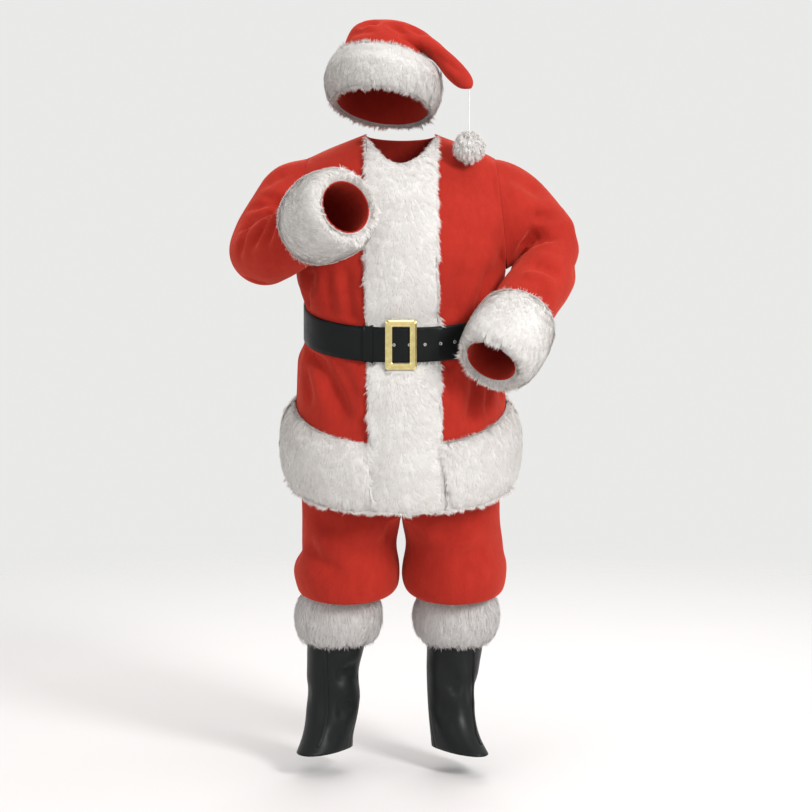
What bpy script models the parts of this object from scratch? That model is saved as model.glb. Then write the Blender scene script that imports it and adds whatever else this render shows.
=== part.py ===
"""Santa suit: jacket, belt, trousers, hat and boot tops, hollow and open as they are worn.

Metres, +Z up, the suit's front faces -Y and the wearer's left is +X. The origin is where the
wearer's shoulders carry the jacket, HOLD_HEIGHT above the floor that the wearer stands on.
Heights in the tables are above that floor. Angles round the body start at the centre front
and grow towards the wearer's left. Every cloth piece is a wall: an outer grid of points taken
from a surface function, an inner grid moved in by the cloth's thickness, and rims between them.
"""

import math

import bmesh
import bpy
from mathutils import Matrix, Vector

# ---------------------------------------------------------------- driving sizes
HOLD_HEIGHT = 1.560          # the wearer's shoulders, above the floor
SEAM_GAP = 0.0003            # between two pieces that meet at a seam
LIE_GAP = 0.0003             # between a panel and what lies on it
PLUSH = 0.0025               # wall of the plush cloth
VINYL = 0.0016               # wall of the boot tops
STRAP = 0.0025               # wall of the belt

OPENING_X = 0.090            # the jacket's front opening, at the placket's edge
PLACKET_X = (0.047, 0.005, -0.037, -0.079)    # columns under the fur placket, after the opening
PLACKET_LEAN = 0.030         # how fast the placket drifts to the wearer's left on its way down
HEM_DIP = 0.030              # how much lower the hem fur's top edge is at the centre
ARMPIT = 1.270               # lowest level of the armholes
ARMHOLE_TOP = 1.540          # highest level of the armholes
BELT_LEVEL = 1.140           # middle of the belt, at the sides
BELT_HALF = 0.042            # half of the strap's width
CROTCH = 0.670               # level of the trousers' crotch
TROUSER_TOP = 1.120          # the trousers' waist edge, under the belt


class Table:
    """Named columns against a rising first column, read smoothly and without overshoot."""

    def __init__(self, columns, *rows):
        names = columns.split()
        self.stations = [row[0] for row in rows]
        self.columns = {}
        for place, name in enumerate(names):
            values = [row[place] for row in rows]
            self.columns[name] = (values, self.slopes(values))

    def slopes(self, values):
        spans = zip(self.stations, self.stations[1:], values, values[1:])
        steps = [(b - a) / (q - p) for p, q, a, b in spans]
        inner = [2 * a * b / (a + b) if a * b > 0 else 0.0 for a, b in zip(steps, steps[1:])]
        return [steps[0], *inner, steps[-1]]

    def __call__(self, name, station):
        values, slopes = self.columns[name]
        station = min(max(station, self.stations[0]), self.stations[-1])
        row = 0
        while station > self.stations[row + 1]:
            row += 1
        span = self.stations[row + 1] - self.stations[row]
        t = (station - self.stations[row]) / span
        return ((1 + 2 * t) * (1 - t) ** 2 * values[row] + t * (1 - t) ** 2 * span * slopes[row]
                + t * t * (3 - 2 * t) * values[row + 1] + t * t * (t - 1) * span * slopes[row + 1])


# ---------------------------------------------------------------- tables of sections and folds
# Jacket body, as half a width, a front and a back depth; tilt lowers the front of a section.
JACKET = Table(
    "level width front back square tilt shift",
    (0.755, 0.270, 0.246, 0.192, 2.30, 0.26, 0.000),
    (0.850, 0.268, 0.242, 0.186, 2.30, 0.26, 0.000),
    (0.950, 0.262, 0.236, 0.176, 2.30, 0.26, 0.000),
    (1.050, 0.2555, 0.226, 0.168, 2.30, 0.26, 0.000),
    (1.078, 0.2430, 0.2095, 0.157, 2.30, 0.26, 0.000),
    (1.098, 0.2400, 0.206, 0.154, 2.30, 0.26, 0.000),
    (1.182, 0.2400, 0.206, 0.154, 2.30, 0.26, 0.000),
    (1.202, 0.2440, 0.2095, 0.158, 2.30, 0.255, 0.000),
    (1.230, 0.2570, 0.222, 0.166, 2.30, 0.21, 0.002),
    (1.270, 0.2620, 0.220, 0.170, 2.30, 0.14, 0.004),
    (1.330, 0.2780, 0.208, 0.170, 2.30, 0.05, 0.008),
    (1.400, 0.2880, 0.186, 0.162, 2.30, 0.00, 0.013),
    (1.460, 0.2850, 0.160, 0.148, 2.25, 0.00, 0.018),
    (1.500, 0.2700, 0.138, 0.134, 2.20, 0.00, 0.021),
    (1.530, 0.2480, 0.120, 0.118, 2.15, 0.00, 0.023),
    (1.550, 0.2150, 0.108, 0.104, 2.10, 0.00, 0.024),
    (1.577, 0.1500, 0.094, 0.088, 2.00, 0.00, 0.025),
    (1.600, 0.0900, 0.084, 0.074, 2.00, 0.00, 0.025),
)
NECK_FRONT = 1.515           # the neckline at the centre front
NECK_BACK = 1.588            # and at the centre back
NECK_SIDE = 1.600            # and where it meets the shoulder seams
NECK_BASE = 1.400            # rows above this level bend to the neckline
NECK_HALF = 0.090            # half the neck opening's width

# Soft folds in the jacket: a trough from (top, top_angle) to (bottom, bottom_angle), in degrees.
JACKET_FOLDS = (
    # top, bottom, top_angle, bottom_angle, spread, depth
    (1.075, 0.93, -50, -33, 9, 0.010),
    (1.075, 0.97, -72, -66, 8, 0.006),
    (1.075, 0.93, 46, 40, 9, 0.009),
    (1.075, 0.93, 68, 64, 8, 0.008),
    (1.320, 1.205, -36, -38, 8, 0.006),
    (1.300, 1.205, 34, 58, 8, 0.006),
    (1.075, 0.90, 112, 106, 10, 0.008),
    (1.075, 0.90, 142, 144, 10, 0.009),
    (1.075, 0.90, 176, 180, 10, 0.009),
    (1.075, 0.90, -146, -142, 10, 0.009),
    (1.075, 0.90, -112, -108, 10, 0.008),
    (1.330, 1.205, 128, 138, 10, 0.008),
    (1.360, 1.205, -164, -160, 10, 0.008),
    (1.330, 1.205, -124, -130, 10, 0.008),
)

# Sleeves: centre line from the armhole to the cuff's end, and half sizes along it.
SLEEVE_LINE = {
    "left": ((0.292, 0.015, 1.402), (0.332, 0.030, 1.372), (0.362, 0.005, 1.315),
             (0.350, -0.070, 1.250), (0.315, -0.132, 1.198), (0.283, -0.182, 1.154),
             (0.214, -0.288, 1.052)),
    "right": ((-0.292, 0.005, 1.400), (-0.330, -0.030, 1.354), (-0.345, -0.095, 1.298),
              (-0.290, -0.178, 1.325), (-0.203, -0.254, 1.376), (-0.128, -0.374, 1.415)),
}
SLEEVE_FACES = {             # which way the rings face, at a share of the length
    "left": ((0.10, 0.97, 0.10, -0.20), (0.20, 0.82, -0.05, -0.57), (0.30, 0.45, -0.40, -0.80),
             (0.42, -0.05, -0.68, -0.73), (0.55, -0.38, -0.70, -0.60), (1.00, -0.43, -0.66, -0.62)),
    "right": ((0.10, -0.95, -0.10, -0.25), (0.20, -0.78, -0.40, -0.48), (0.30, -0.42, -0.75, -0.52),
              (0.40, 0.08, -0.95, -0.32), (0.52, 0.50, -0.84, 0.10), (0.65, 0.60, -0.74, 0.30),
              (1.00, 0.52, -0.81, 0.26)),
}
SLEEVE_LEFT = Table(
    "share up front",
    (0.00, 0.135, 0.105), (0.08, 0.108, 0.102), (0.16, 0.094, 0.096), (0.26, 0.087, 0.088),
    (0.40, 0.084, 0.084), (0.60, 0.084, 0.078), (0.74, 0.083, 0.074), (0.86, 0.076, 0.070),
    (1.00, 0.063, 0.061),
)
SLEEVE_RIGHT = Table(
    "share up front",
    (0.00, 0.135, 0.105), (0.08, 0.107, 0.100), (0.16, 0.092, 0.093), (0.26, 0.086, 0.087),
    (0.42, 0.083, 0.083), (0.60, 0.079, 0.078), (0.74, 0.077, 0.076), (0.86, 0.072, 0.071),
    (1.00, 0.063, 0.062),
)
SLEEVE_SIZES = {"left": SLEEVE_LEFT, "right": SLEEVE_RIGHT}
SLEEVE_FOLDS = {
    # share along the sleeve, angle round it in degrees, spread of each, depth
    "left": ((0.30, 60, 0.030, 70, 0.007), (0.40, 30, 0.028, 70, 0.009), (0.50, 40, 0.028, 60, 0.007),
             (0.36, 300, 0.030, 60, 0.006), (0.60, 200, 0.030, 60, 0.004)),
    "right": ((0.28, 95, 0.026, 75, 0.009), (0.37, 100, 0.024, 80, 0.010), (0.46, 100, 0.024, 75, 0.009),
              (0.55, 95, 0.024, 60, 0.006), (0.42, 300, 0.030, 50, 0.005)),
}
CUFF_FROM = {"left": 0.72, "right": 0.69}     # share along the sleeve where the fur starts
CUFF_PRESSED = {"left": 0.65, "right": 0.60}  # how much the pile is pressed where it meets the body
CUFF = Table(
    "share pile lip",
    (0.00, 0.008, -0.004), (0.12, 0.026, 0.000), (0.35, 0.038, 0.000), (0.62, 0.043, 0.000),
    (0.86, 0.044, 0.004), (0.97, 0.032, 0.012), (1.00, 0.014, 0.012),
)

# Trousers above the crotch, then a leg from the crotch to its tucked end. x is for one side.
SEAT = Table(
    "level width front back square",
    (0.670, 0.2530, 0.176, 0.160, 2.2), (0.740, 0.2520, 0.186, 0.166, 2.2),
    (0.860, 0.2440, 0.190, 0.160, 2.2), (0.960, 0.2360, 0.190, 0.150, 2.2),
    (1.050, 0.2320, 0.196, 0.146, 2.3), (1.098, 0.2348, 0.2008, 0.1488, 2.3),
    (1.120, 0.2348, 0.2008, 0.1488, 2.3),
)
LEG = Table(
    "share level x width front back tilt",
    (0.00, 0.670, 0.1265, 0.1265, 0.176, 0.160, 0.00),
    (0.14, 0.628, 0.1275, 0.1215, 0.164, 0.150, 0.00),
    (0.27, 0.590, 0.1290, 0.1185, 0.156, 0.142, 0.02),
    (0.38, 0.560, 0.1310, 0.1220, 0.158, 0.140, 0.05),
    (0.48, 0.532, 0.1345, 0.1330, 0.164, 0.142, 0.10),
    (0.57, 0.500, 0.1345, 0.1340, 0.166, 0.142, 0.14),
    (0.65, 0.474, 0.1335, 0.1310, 0.160, 0.138, 0.16),
    (0.71, 0.460, 0.1375, 0.1215, 0.148, 0.131, 0.14),
    (0.77, 0.459, 0.1430, 0.1080, 0.130, 0.120, 0.08),
    (0.83, 0.476, 0.1490, 0.0955, 0.109, 0.104, 0.02),
    (0.88, 0.497, 0.1530, 0.0825, 0.090, 0.087, 0.00),
)
LEG_BULGE = {"left": 0.000, "right": 0.004}   # how much further the right knee stands out

# Boot tops, from the rim down to the instep. turn points the toe outwards, in degrees.
BOOT_LEFT = Table(
    "level x y width front back turn",
    (0.058, 0.1340, 0.000, 0.0540, 0.138, 0.060, 30), (0.085, 0.1300, 0.004, 0.0540, 0.108, 0.058, 28),
    (0.125, 0.1270, 0.010, 0.0560, 0.078, 0.058, 24), (0.185, 0.1260, 0.014, 0.0600, 0.066, 0.060, 16),
    (0.230, 0.1290, 0.014, 0.0650, 0.068, 0.062, 10), (0.335, 0.1380, 0.010, 0.0720, 0.076, 0.072, 0),
    (0.420, 0.1410, 0.004, 0.0760, 0.084, 0.080, 0), (0.475, 0.1420, 0.002, 0.0760, 0.084, 0.080, 0),
)
BOOT_RIGHT = Table(
    "level x y width front back turn",
    (0.058, 0.1820, 0.000, 0.0580, 0.130, 0.060, 26), (0.085, 0.1800, 0.004, 0.0580, 0.104, 0.058, 24),
    (0.125, 0.1750, 0.010, 0.0640, 0.080, 0.060, 20), (0.185, 0.1700, 0.014, 0.0680, 0.070, 0.062, 14),
    (0.245, 0.1730, 0.014, 0.0650, 0.070, 0.064, 8), (0.335, 0.1620, 0.010, 0.0750, 0.078, 0.074, 0),
    (0.420, 0.1570, 0.004, 0.0770, 0.084, 0.080, 0), (0.475, 0.1560, 0.002, 0.0770, 0.084, 0.080, 0),
)
BOOTS = {"left": BOOT_LEFT, "right": BOOT_RIGHT}
BOOT_RIM = 0.475
BOOT_FUR = Table(
    "level pile",
    (0.328, 0.008), (0.337, 0.027), (0.362, 0.037), (0.398, 0.040), (0.435, 0.030),
    (0.456, 0.012), (0.468, 0.005),
)
TUCK_LEVELS = (0.482, 0.456, 0.435)  # where the trouser legs lie against the boot tops inside

# Fur on the jacket: how far it stands from the cloth under it.
HEM_FUR = Table(
    "level pile drop",
    (0.755, 0.014, -0.008), (0.772, 0.030, -0.004), (0.800, 0.036, 0.0), (0.850, 0.038, 0.0),
    (0.900, 0.032, 0.0), (0.935, 0.008, 0.0),
)
HEM_TOP = 0.935
PLACKET_FUR = Table(
    "level pile",
    (0.755, 0.020), (0.772, 0.032), (0.850, 0.036), (0.950, 0.028), (1.020, 0.022), (1.050, 0.0125),
    (1.078, 0.0058), (1.098, 0.0055), (1.182, 0.0055), (1.202, 0.0058), (1.230, 0.0125), (1.270, 0.022),
    (1.400, 0.024), (1.560, 0.020), (1.600, 0.012),
)
PLACKET_ACROSS = (0.45, 0.92, 1.0, 0.92, 0.55)  # share of the pile at each column, opening first

# Hat, ring by ring from the head opening to the tip. left and right are the ring's two ends as
# seen from the front; deep is half its depth and rise lifts its front edge.
HAT = Table(
    "share left_x left_z right_x right_z y deep rise",
    (0.00, -0.159, 1.684, 0.067, 1.656, -0.012, 0.130, 0.30),
    (0.10, -0.158, 1.734, 0.068, 1.705, 0.003, 0.128, 0.30),
    (0.20, -0.151, 1.785, 0.066, 1.752, 0.018, 0.120, 0.29),
    (0.30, -0.140, 1.828, 0.064, 1.776, 0.024, 0.112, 0.24),
    (0.40, -0.120, 1.866, 0.062, 1.785, 0.026, 0.102, 0.14),
    (0.49, -0.086, 1.882, 0.062, 1.788, 0.024, 0.090, 0.05),
    (0.57, -0.037, 1.886, 0.065, 1.789, 0.018, 0.077, 0.00),
    (0.65, 0.014, 1.878, 0.071, 1.786, 0.008, 0.064, 0.00),
    (0.73, 0.062, 1.846, 0.081, 1.779, -0.008, 0.050, 0.00),
    (0.81, 0.115, 1.801, 0.099, 1.756, -0.034, 0.038, 0.00),
    (0.88, 0.153, 1.765, 0.114, 1.730, -0.062, 0.032, 0.00),
    (0.94, 0.176, 1.734, 0.137, 1.708, -0.088, 0.026, 0.00),
    (0.98, 0.177, 1.714, 0.149, 1.704, -0.101, 0.019, 0.00),
    (1.00, 0.171, 1.705, 0.157, 1.704, -0.105, 0.010, 0.00),
)
BRIM_SHARE = 0.215
BRIM_FUR = Table(
    "share pile lip",
    (0.00, 0.012, -0.006), (0.10, 0.029, -0.002), (0.30, 0.037, 0.0), (0.60, 0.037, 0.0),
    (0.85, 0.028, 0.0), (1.00, 0.010, 0.0),
)
HAT_TIP = (0.1660, -0.105, 1.7036)   # where the string leaves the crown
STRING_RADIUS = 0.0012
STRING_LENGTH = 0.107
POMPOM_RADIUS = 0.0375

# Belt: the strap starts behind the buckle, goes round the wearer's right side and the back, comes
# forward on the left, passes over its own start behind the buckle frame and ends under the keeper.
UNDER_FROM = -0.037
TAIL_TO = -0.086
BELT_LIFT = 0.0063           # over the placket and the keeper's back
KEEPER_X = (-0.0885, -0.079, -0.0665)
KEEPER_SIDE = 0.0030         # how far the keeper stands above and below the strap
KEEPER_THICK = 0.0015
BUCKLE_HALF = (0.038, 0.060)
BUCKLE_HOLE = (0.0215, 0.0445)
BUCKLE_THICK = 0.0050
BUCKLE_CORNER = 0.006
EYELETS_X = (-0.0167, 0.0200, 0.0567, 0.0930, 0.1280)
EYELET_FLANGE = 0.0044
EYELET_BARREL = 0.0030
EYELET_HOLE = 0.0021

MATERIALS = {
    # name: colour, roughness, metallic
    "plush": ((0.56, 0.018, 0.016, 1), 0.85, 0.0),
    "fur": ((0.83, 0.82, 0.79, 1), 0.95, 0.0),
    "belt_vinyl": ((0.012, 0.013, 0.014, 1), 0.35, 0.0),
    "boot_vinyl": ((0.014, 0.015, 0.016, 1), 0.38, 0.0),
    "gold": ((0.80, 0.58, 0.18, 1), 0.30, 1.0),
    "nickel": ((0.62, 0.62, 0.60, 1), 0.30, 1.0),
    "cord": ((0.85, 0.84, 0.82, 1), 0.9, 0.0),
}


# ---------------------------------------------------------------- small tools
def start_scene():
    for old in list(bpy.data.objects):
        bpy.data.objects.remove(old)
    suit = bpy.data.collections.new("santa_suit")
    bpy.context.scene.collection.children.link(suit)
    return suit


def make_materials():
    made = {}
    for name, (colour, roughness, metallic) in MATERIALS.items():
        material = bpy.data.materials.new(name)
        material.use_nodes = True
        shader = material.node_tree.nodes["Principled BSDF"]
        shader.inputs["Base Color"].default_value = colour
        shader.inputs["Roughness"].default_value = roughness
        shader.inputs["Metallic"].default_value = metallic
        made[name] = material
    return made


SUIT = start_scene()
LOOKS = make_materials()


def add_object(name, mesh, look):
    made = bpy.data.objects.new(name, mesh)
    made.data.materials.append(LOOKS[look])
    SUIT.objects.link(made)
    return made


def smooth(t):
    t = min(max(t, 0.0), 1.0)
    return t * t * (3 - 2 * t)


def section(angle, width, front, back, square=2.0):
    """A point of a rounded section: 0 is its front (-Y), 90 degrees its +X side."""
    s, c = math.sin(angle), math.cos(angle)
    reach = (abs(s) ** square + abs(c) ** square) ** (-1 / square)
    depth = front if c > 0 else back
    return width * reach * s, -depth * reach * c


def normal_of(surface, u, v, step_u, step_v, away_from):
    """The surface's unit normal, on the side that points away from a point."""
    along_u = surface(u + step_u, v) - surface(u - step_u, v)
    along_v = surface(u, v + step_v) - surface(u, v - step_v)
    normal = along_u.cross(along_v).normalized()
    return normal if normal.dot(surface(u, v) - away_from) > 0 else -normal


def grid_faces(rows, columns, closed=False, start=0, turn_at=None):
    """Triangles of a grid of points kept row by row. Every grid splits its quads the same way, so that
    a piece laid on another one has the same facets; from column turn_at on, the other way."""
    faces = []
    for row in range(rows - 1):
        for column in range(columns if closed else columns - 1):
            after = (column + 1) % columns
            low, high = start + row * columns, start + (row + 1) * columns
            if turn_at is None or column < turn_at:
                faces.append((low + column, low + after, high + after))
                faces.append((low + column, high + after, high + column))
            else:
                faces.append((low + column, low + after, high + column))
                faces.append((low + after, high + after, high + column))
    return faces


def wall(name, outer, inner, faces, look):
    """A closed wall: the outer skin, the inner skin, and rims along the skin's free edges."""
    mesh = bmesh.new()
    outside = [mesh.verts.new(p) for p in outer]
    inside = [mesh.verts.new(p) for p in inner]
    mesh.verts.index_update()
    for face in faces:
        mesh.faces.new([outside[i] for i in face])
    rims = [(e.verts[0].index, e.verts[1].index) for e in mesh.edges if e.is_boundary]
    for face in faces:
        mesh.faces.new([inside[i] for i in reversed(face)])
    for a, b in rims:
        mesh.faces.new((outside[a], outside[b], inside[b], inside[a]))
    bmesh.ops.recalc_face_normals(mesh, faces=mesh.faces)
    data = bpy.data.meshes.new(name)
    mesh.to_mesh(data)
    mesh.free()
    data.shade_smooth()
    data.set_sharp_from_angle(angle=math.radians(50))
    return add_object(name, data, look)


def flat(rings):
    return [point for ring in rings for point in ring]


class Line:
    """A smooth line through points, read by its share of the length, with a frame that doesn't twist.

    Its rings face the directions given at some shares, and in between they turn evenly: they fan out
    round a bend more slowly than the line itself turns, so that wide rings don't cross.
    """

    SAMPLES = 40

    def __init__(self, points, facings, first_up):
        points = [Vector(p) for p in points]
        before = points[0] - facings[0][1] * (points[1] - points[0]).length
        after = points[-1] * 2 - points[-2]
        knots = [before, *points, after]
        self.places = [self.curve(knots, i, k / self.SAMPLES)
                       for i in range(1, len(knots) - 2) for k in range(self.SAMPLES)]
        self.places.append(points[-1])
        self.lengths = [0.0]
        for a, b in zip(self.places, self.places[1:]):
            self.lengths.append(self.lengths[-1] + (b - a).length)
        self.tangents, self.ups = [], []
        row = 0
        for length in self.lengths:
            share = length / self.lengths[-1]
            while share > facings[row + 1][0]:
                row += 1
            (low, a), (high, b) = facings[row:row + 2]
            self.tangents.append(a.lerp(b, (share - low) / (high - low)).normalized())
        up = first_up
        for tangent in self.tangents:
            up = (up - tangent * up.dot(tangent)).normalized()
            self.ups.append(up)

    def find(self, length):
        low, high = 0, len(self.lengths) - 1
        while high - low > 1:
            middle = (low + high) // 2
            if self.lengths[middle] <= length:
                low = middle
            else:
                high = middle
        return low, high, (length - self.lengths[low]) / (self.lengths[high] - self.lengths[low])

    def at(self, length):
        low, high, t = self.find(min(max(length, 0.0), self.lengths[-1]))
        return self.places[low].lerp(self.places[high], t)

    @staticmethod
    def curve(knots, i, t):
        a, b, c, d = knots[i - 1:i + 3]
        return 0.5 * ((2 * b) + (c - a) * t + (2 * a - 5 * b + 4 * c - d) * t * t
                      + (3 * b - a - 3 * c + d) * t ** 3)

    def frame(self, share):
        """Place, tangent and up at a share of the length; past the ends the line runs on straight."""
        length = min(max(share, 0.0), 1.0) * self.lengths[-1]
        low, high, t = self.find(length)
        tangent = self.tangents[low].lerp(self.tangents[high], t).normalized()
        up = self.ups[low].lerp(self.ups[high], t)
        up = (up - tangent * up.dot(tangent)).normalized()
        return self.at(length) + tangent * (share * self.lengths[-1] - length), tangent, up


# ---------------------------------------------------------------- jacket body
def jacket_fold(angle, level):
    """How far the folds pull the cloth in, at an angle and a level."""
    depth = 0.0
    for top, bottom, top_angle, bottom_angle, spread, most in JACKET_FOLDS:
        if not bottom < level < top:
            continue
        down = (top - level) / (top - bottom)
        middle = math.radians(top_angle + (bottom_angle - top_angle) * down)
        off = (angle - middle + math.pi) % (2 * math.pi) - math.pi
        fade = smooth(down / 0.25) * smooth((1 - down) / 0.45)
        depth += most * fade * math.exp(-(off / math.radians(spread)) ** 2)
    return depth


def body(angle, level):
    """A point of the jacket's outside. level is the height of the section's sides."""
    width, front, back, square, tilt, shift = (
        JACKET(name, level) for name in ("width", "front", "back", "square", "tilt", "shift"))
    x, y = section(angle, width, front, back, square)
    fold = jacket_fold(angle, level)
    x -= fold * math.sin(angle)
    y += fold * math.cos(angle)
    return Vector((x, y + shift, level + tilt * y - HOLD_HEIGHT))


def body_normal(angle, level):
    inside = Vector((0.0, 0.0, min(level, 1.45) - 0.03 - HOLD_HEIGHT))
    return normal_of(body, angle, level, 0.004, 0.002, inside)


def angle_at(x, level):
    """The angle in the front half where a section reaches x."""
    square = JACKET("square", level)
    share = min(abs(x) / JACKET("width", level), 1.0)
    cot = max(share ** -square - 1, 0.0) ** (1 / square)
    return math.copysign(math.atan2(1, cot), x)


def armhole_x(level):
    """The armhole lies on a plane that leans in towards the shoulder."""
    low, high = JACKET("width", ARMPIT), JACKET("width", ARMHOLE_TOP)
    return low + (high - low) * (level - ARMPIT) / (ARMHOLE_TOP - ARMPIT)


def side_angle(level):
    """The angle at which a front panel ends: side seam, armhole or shoulder seam."""
    if ARMPIT < level < ARMHOLE_TOP:
        return angle_at(armhole_x(level), level)
    return math.pi / 2


ARMHOLE_STEPS = 8
PANEL_LEVELS = [0.755, 0.772, 0.80, 0.85, 0.90, 0.935, 0.98, 1.02, 1.05, 1.078, 1.098, 1.140, 1.182,
                1.202, 1.230]
PANEL_LEVELS += [
    ARMPIT + (ARMHOLE_TOP - ARMPIT) * (1 - math.cos(math.pi * k / ARMHOLE_STEPS)) / 2
    for k in range(ARMHOLE_STEPS + 1)]
PANEL_LEVELS += [1.562, 1.583, NECK_SIDE]


def dipped(level, share):
    """Rows dip to the hem fur's top edge in front; share is 0 at the centre and 1 at the side."""
    dip = HEM_DIP * smooth((level - 0.755) / 0.18) * smooth((1.060 - level) / 0.12)
    return level - dip * (1 - smooth(share))


def toward_neck(level, neck):
    """A row above NECK_BASE takes its share of the way to the neckline's level."""
    if level <= NECK_BASE:
        return level
    return NECK_BASE + (level - NECK_BASE) * (neck - NECK_BASE) / (NECK_SIDE - NECK_BASE)


def neck_in_front(x):
    return NECK_FRONT + (NECK_SIDE - NECK_FRONT) * min(abs(x) / NECK_HALF, 1.0) ** 2


def front_grid(side, opening, columns_x, spans):
    """Rows of (angle, level) from the opening, through the columns at fixed x, to the side."""
    rows = []
    for level in PANEL_LEVELS:
        row = []
        for x in (opening, *columns_x):
            x += PLACKET_LEAN * (BELT_LEVEL - min(level, 1.30))
            neck = neck_in_front(x)
            lifted = toward_neck(dipped(level, abs(angle_at(x, min(level, 1.4))) / (math.pi / 2)), neck)
            row.append((angle_at(x, lifted), lifted))
        first = row[-1][0]
        last = side * (side_angle(level) - SEAM_GAP / 2 / JACKET("width", level))
        for k in range(1, spans + 1):
            t = k / spans
            angle = first + (last - first) * t
            at_neck = neck + (NECK_SIDE - neck) * (1 - (1 - t) ** 2.5)
            row.append((angle, toward_neck(dipped(level, abs(angle) / (math.pi / 2)), at_neck)))
        rows.append(row)
    return rows


def back_grid(spans):
    rows = []
    for level in PANEL_LEVELS:
        start = math.pi - side_angle(level) + SEAM_GAP / 2 / JACKET("width", level)
        row = []
        for k in range(spans + 1):
            angle = start + (2 * math.pi - 2 * start) * k / spans
            share = abs(angle - math.pi) / (math.pi - start)
            row.append((angle, toward_neck(level, NECK_BACK + (NECK_SIDE - NECK_BACK) * smooth(share))))
        rows.append(row)
    return rows


def lay(grid, out, drop=None):
    """Points of the jacket's outside moved out by out(row, column)."""
    rings = []
    for r, row in enumerate(grid):
        ring = []
        for c, (angle, level) in enumerate(row):
            place = body(angle, level) + body_normal(angle, level) * out(r, c)
            if drop:
                place.z += drop(r)
            ring.append(place)
        rings.append(ring)
    return rings


def panel(name, grid, turn_at=None):
    outer = lay(grid, lambda r, c: 0.0)
    inner = lay(grid, lambda r, c: -PLUSH)
    faces = grid_faces(len(grid), len(grid[0]), turn_at=turn_at)
    wall(name, flat(outer), flat(inner), faces, "plush")


def fur_on_body(name, grid, out, drop=None, turn_at=None):
    outer = lay(grid, out, drop)
    inner = lay(grid, lambda r, c: LIE_GAP)
    faces = grid_faces(len(grid), len(grid[0]), turn_at=turn_at)
    wall(name, flat(outer), flat(inner), faces, "fur")


RIGHT_SPANS = 6
LEFT_SPANS = 6
BACK_SPANS = 12


def jacket_grids():
    right = front_grid(-1, OPENING_X - SEAM_GAP / 2, PLACKET_X, RIGHT_SPANS)
    left = front_grid(1, OPENING_X + SEAM_GAP / 2, (), LEFT_SPANS)
    return right, left, back_grid(BACK_SPANS)


def build_jacket_body():
    right, left, back = jacket_grids()
    panel("jacket_front_right", right)
    panel("jacket_front_left", left)
    panel("jacket_back", back, turn_at=BACK_SPANS // 2)

    placket_columns = len(PLACKET_X) + 1
    placket = [row[:placket_columns] for row in right]
    fur_on_body(
        "fur_placket", placket,
        lambda r, c: PLACKET_FUR("pile", PANEL_LEVELS[r]) * PLACKET_ACROSS[c],
        lambda r: HEM_FUR("drop", PANEL_LEVELS[r]))

    hem_rows = PANEL_LEVELS.index(HEM_TOP) + 1
    beside = SEAM_GAP / JACKET("width", HEM_TOP)
    right_hem = [row[placket_columns - 1:] for row in right[:hem_rows]]
    right_hem = [[(row[0][0] - beside, row[0][1]), *row[1:]] for row in right_hem]
    for name, grid, turn_at in (("fur_hem_right", right_hem, None), ("fur_hem_left", left[:hem_rows], None),
                                ("fur_hem_back", back[:hem_rows], BACK_SPANS // 2)):
        fur_on_body(name, grid, lambda r, c: HEM_FUR("pile", PANEL_LEVELS[r]),
                    lambda r: HEM_FUR("drop", PANEL_LEVELS[r]), turn_at)


# ---------------------------------------------------------------- sleeves and cuffs
SLEEVE_COLUMNS = 2 * ARMHOLE_STEPS
SLEEVE_SHARES = [0.0, 0.06, 0.12, 0.18, 0.24, 0.30, 0.36, 0.42, 0.48, 0.54, 0.60]


def armhole_point(side, turn):
    """The armhole's edge: 0 is the armpit, 180 degrees the shoulder, 90 the front."""
    level = (ARMPIT + ARMHOLE_TOP) / 2 - (ARMHOLE_TOP - ARMPIT) / 2 * math.cos(turn)
    angle = side_angle(level) if math.sin(turn) > 0 else math.pi - side_angle(level)
    if abs(math.sin(turn)) < 1e-9:
        angle = math.pi / 2
    return body(side * angle, level)


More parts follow.
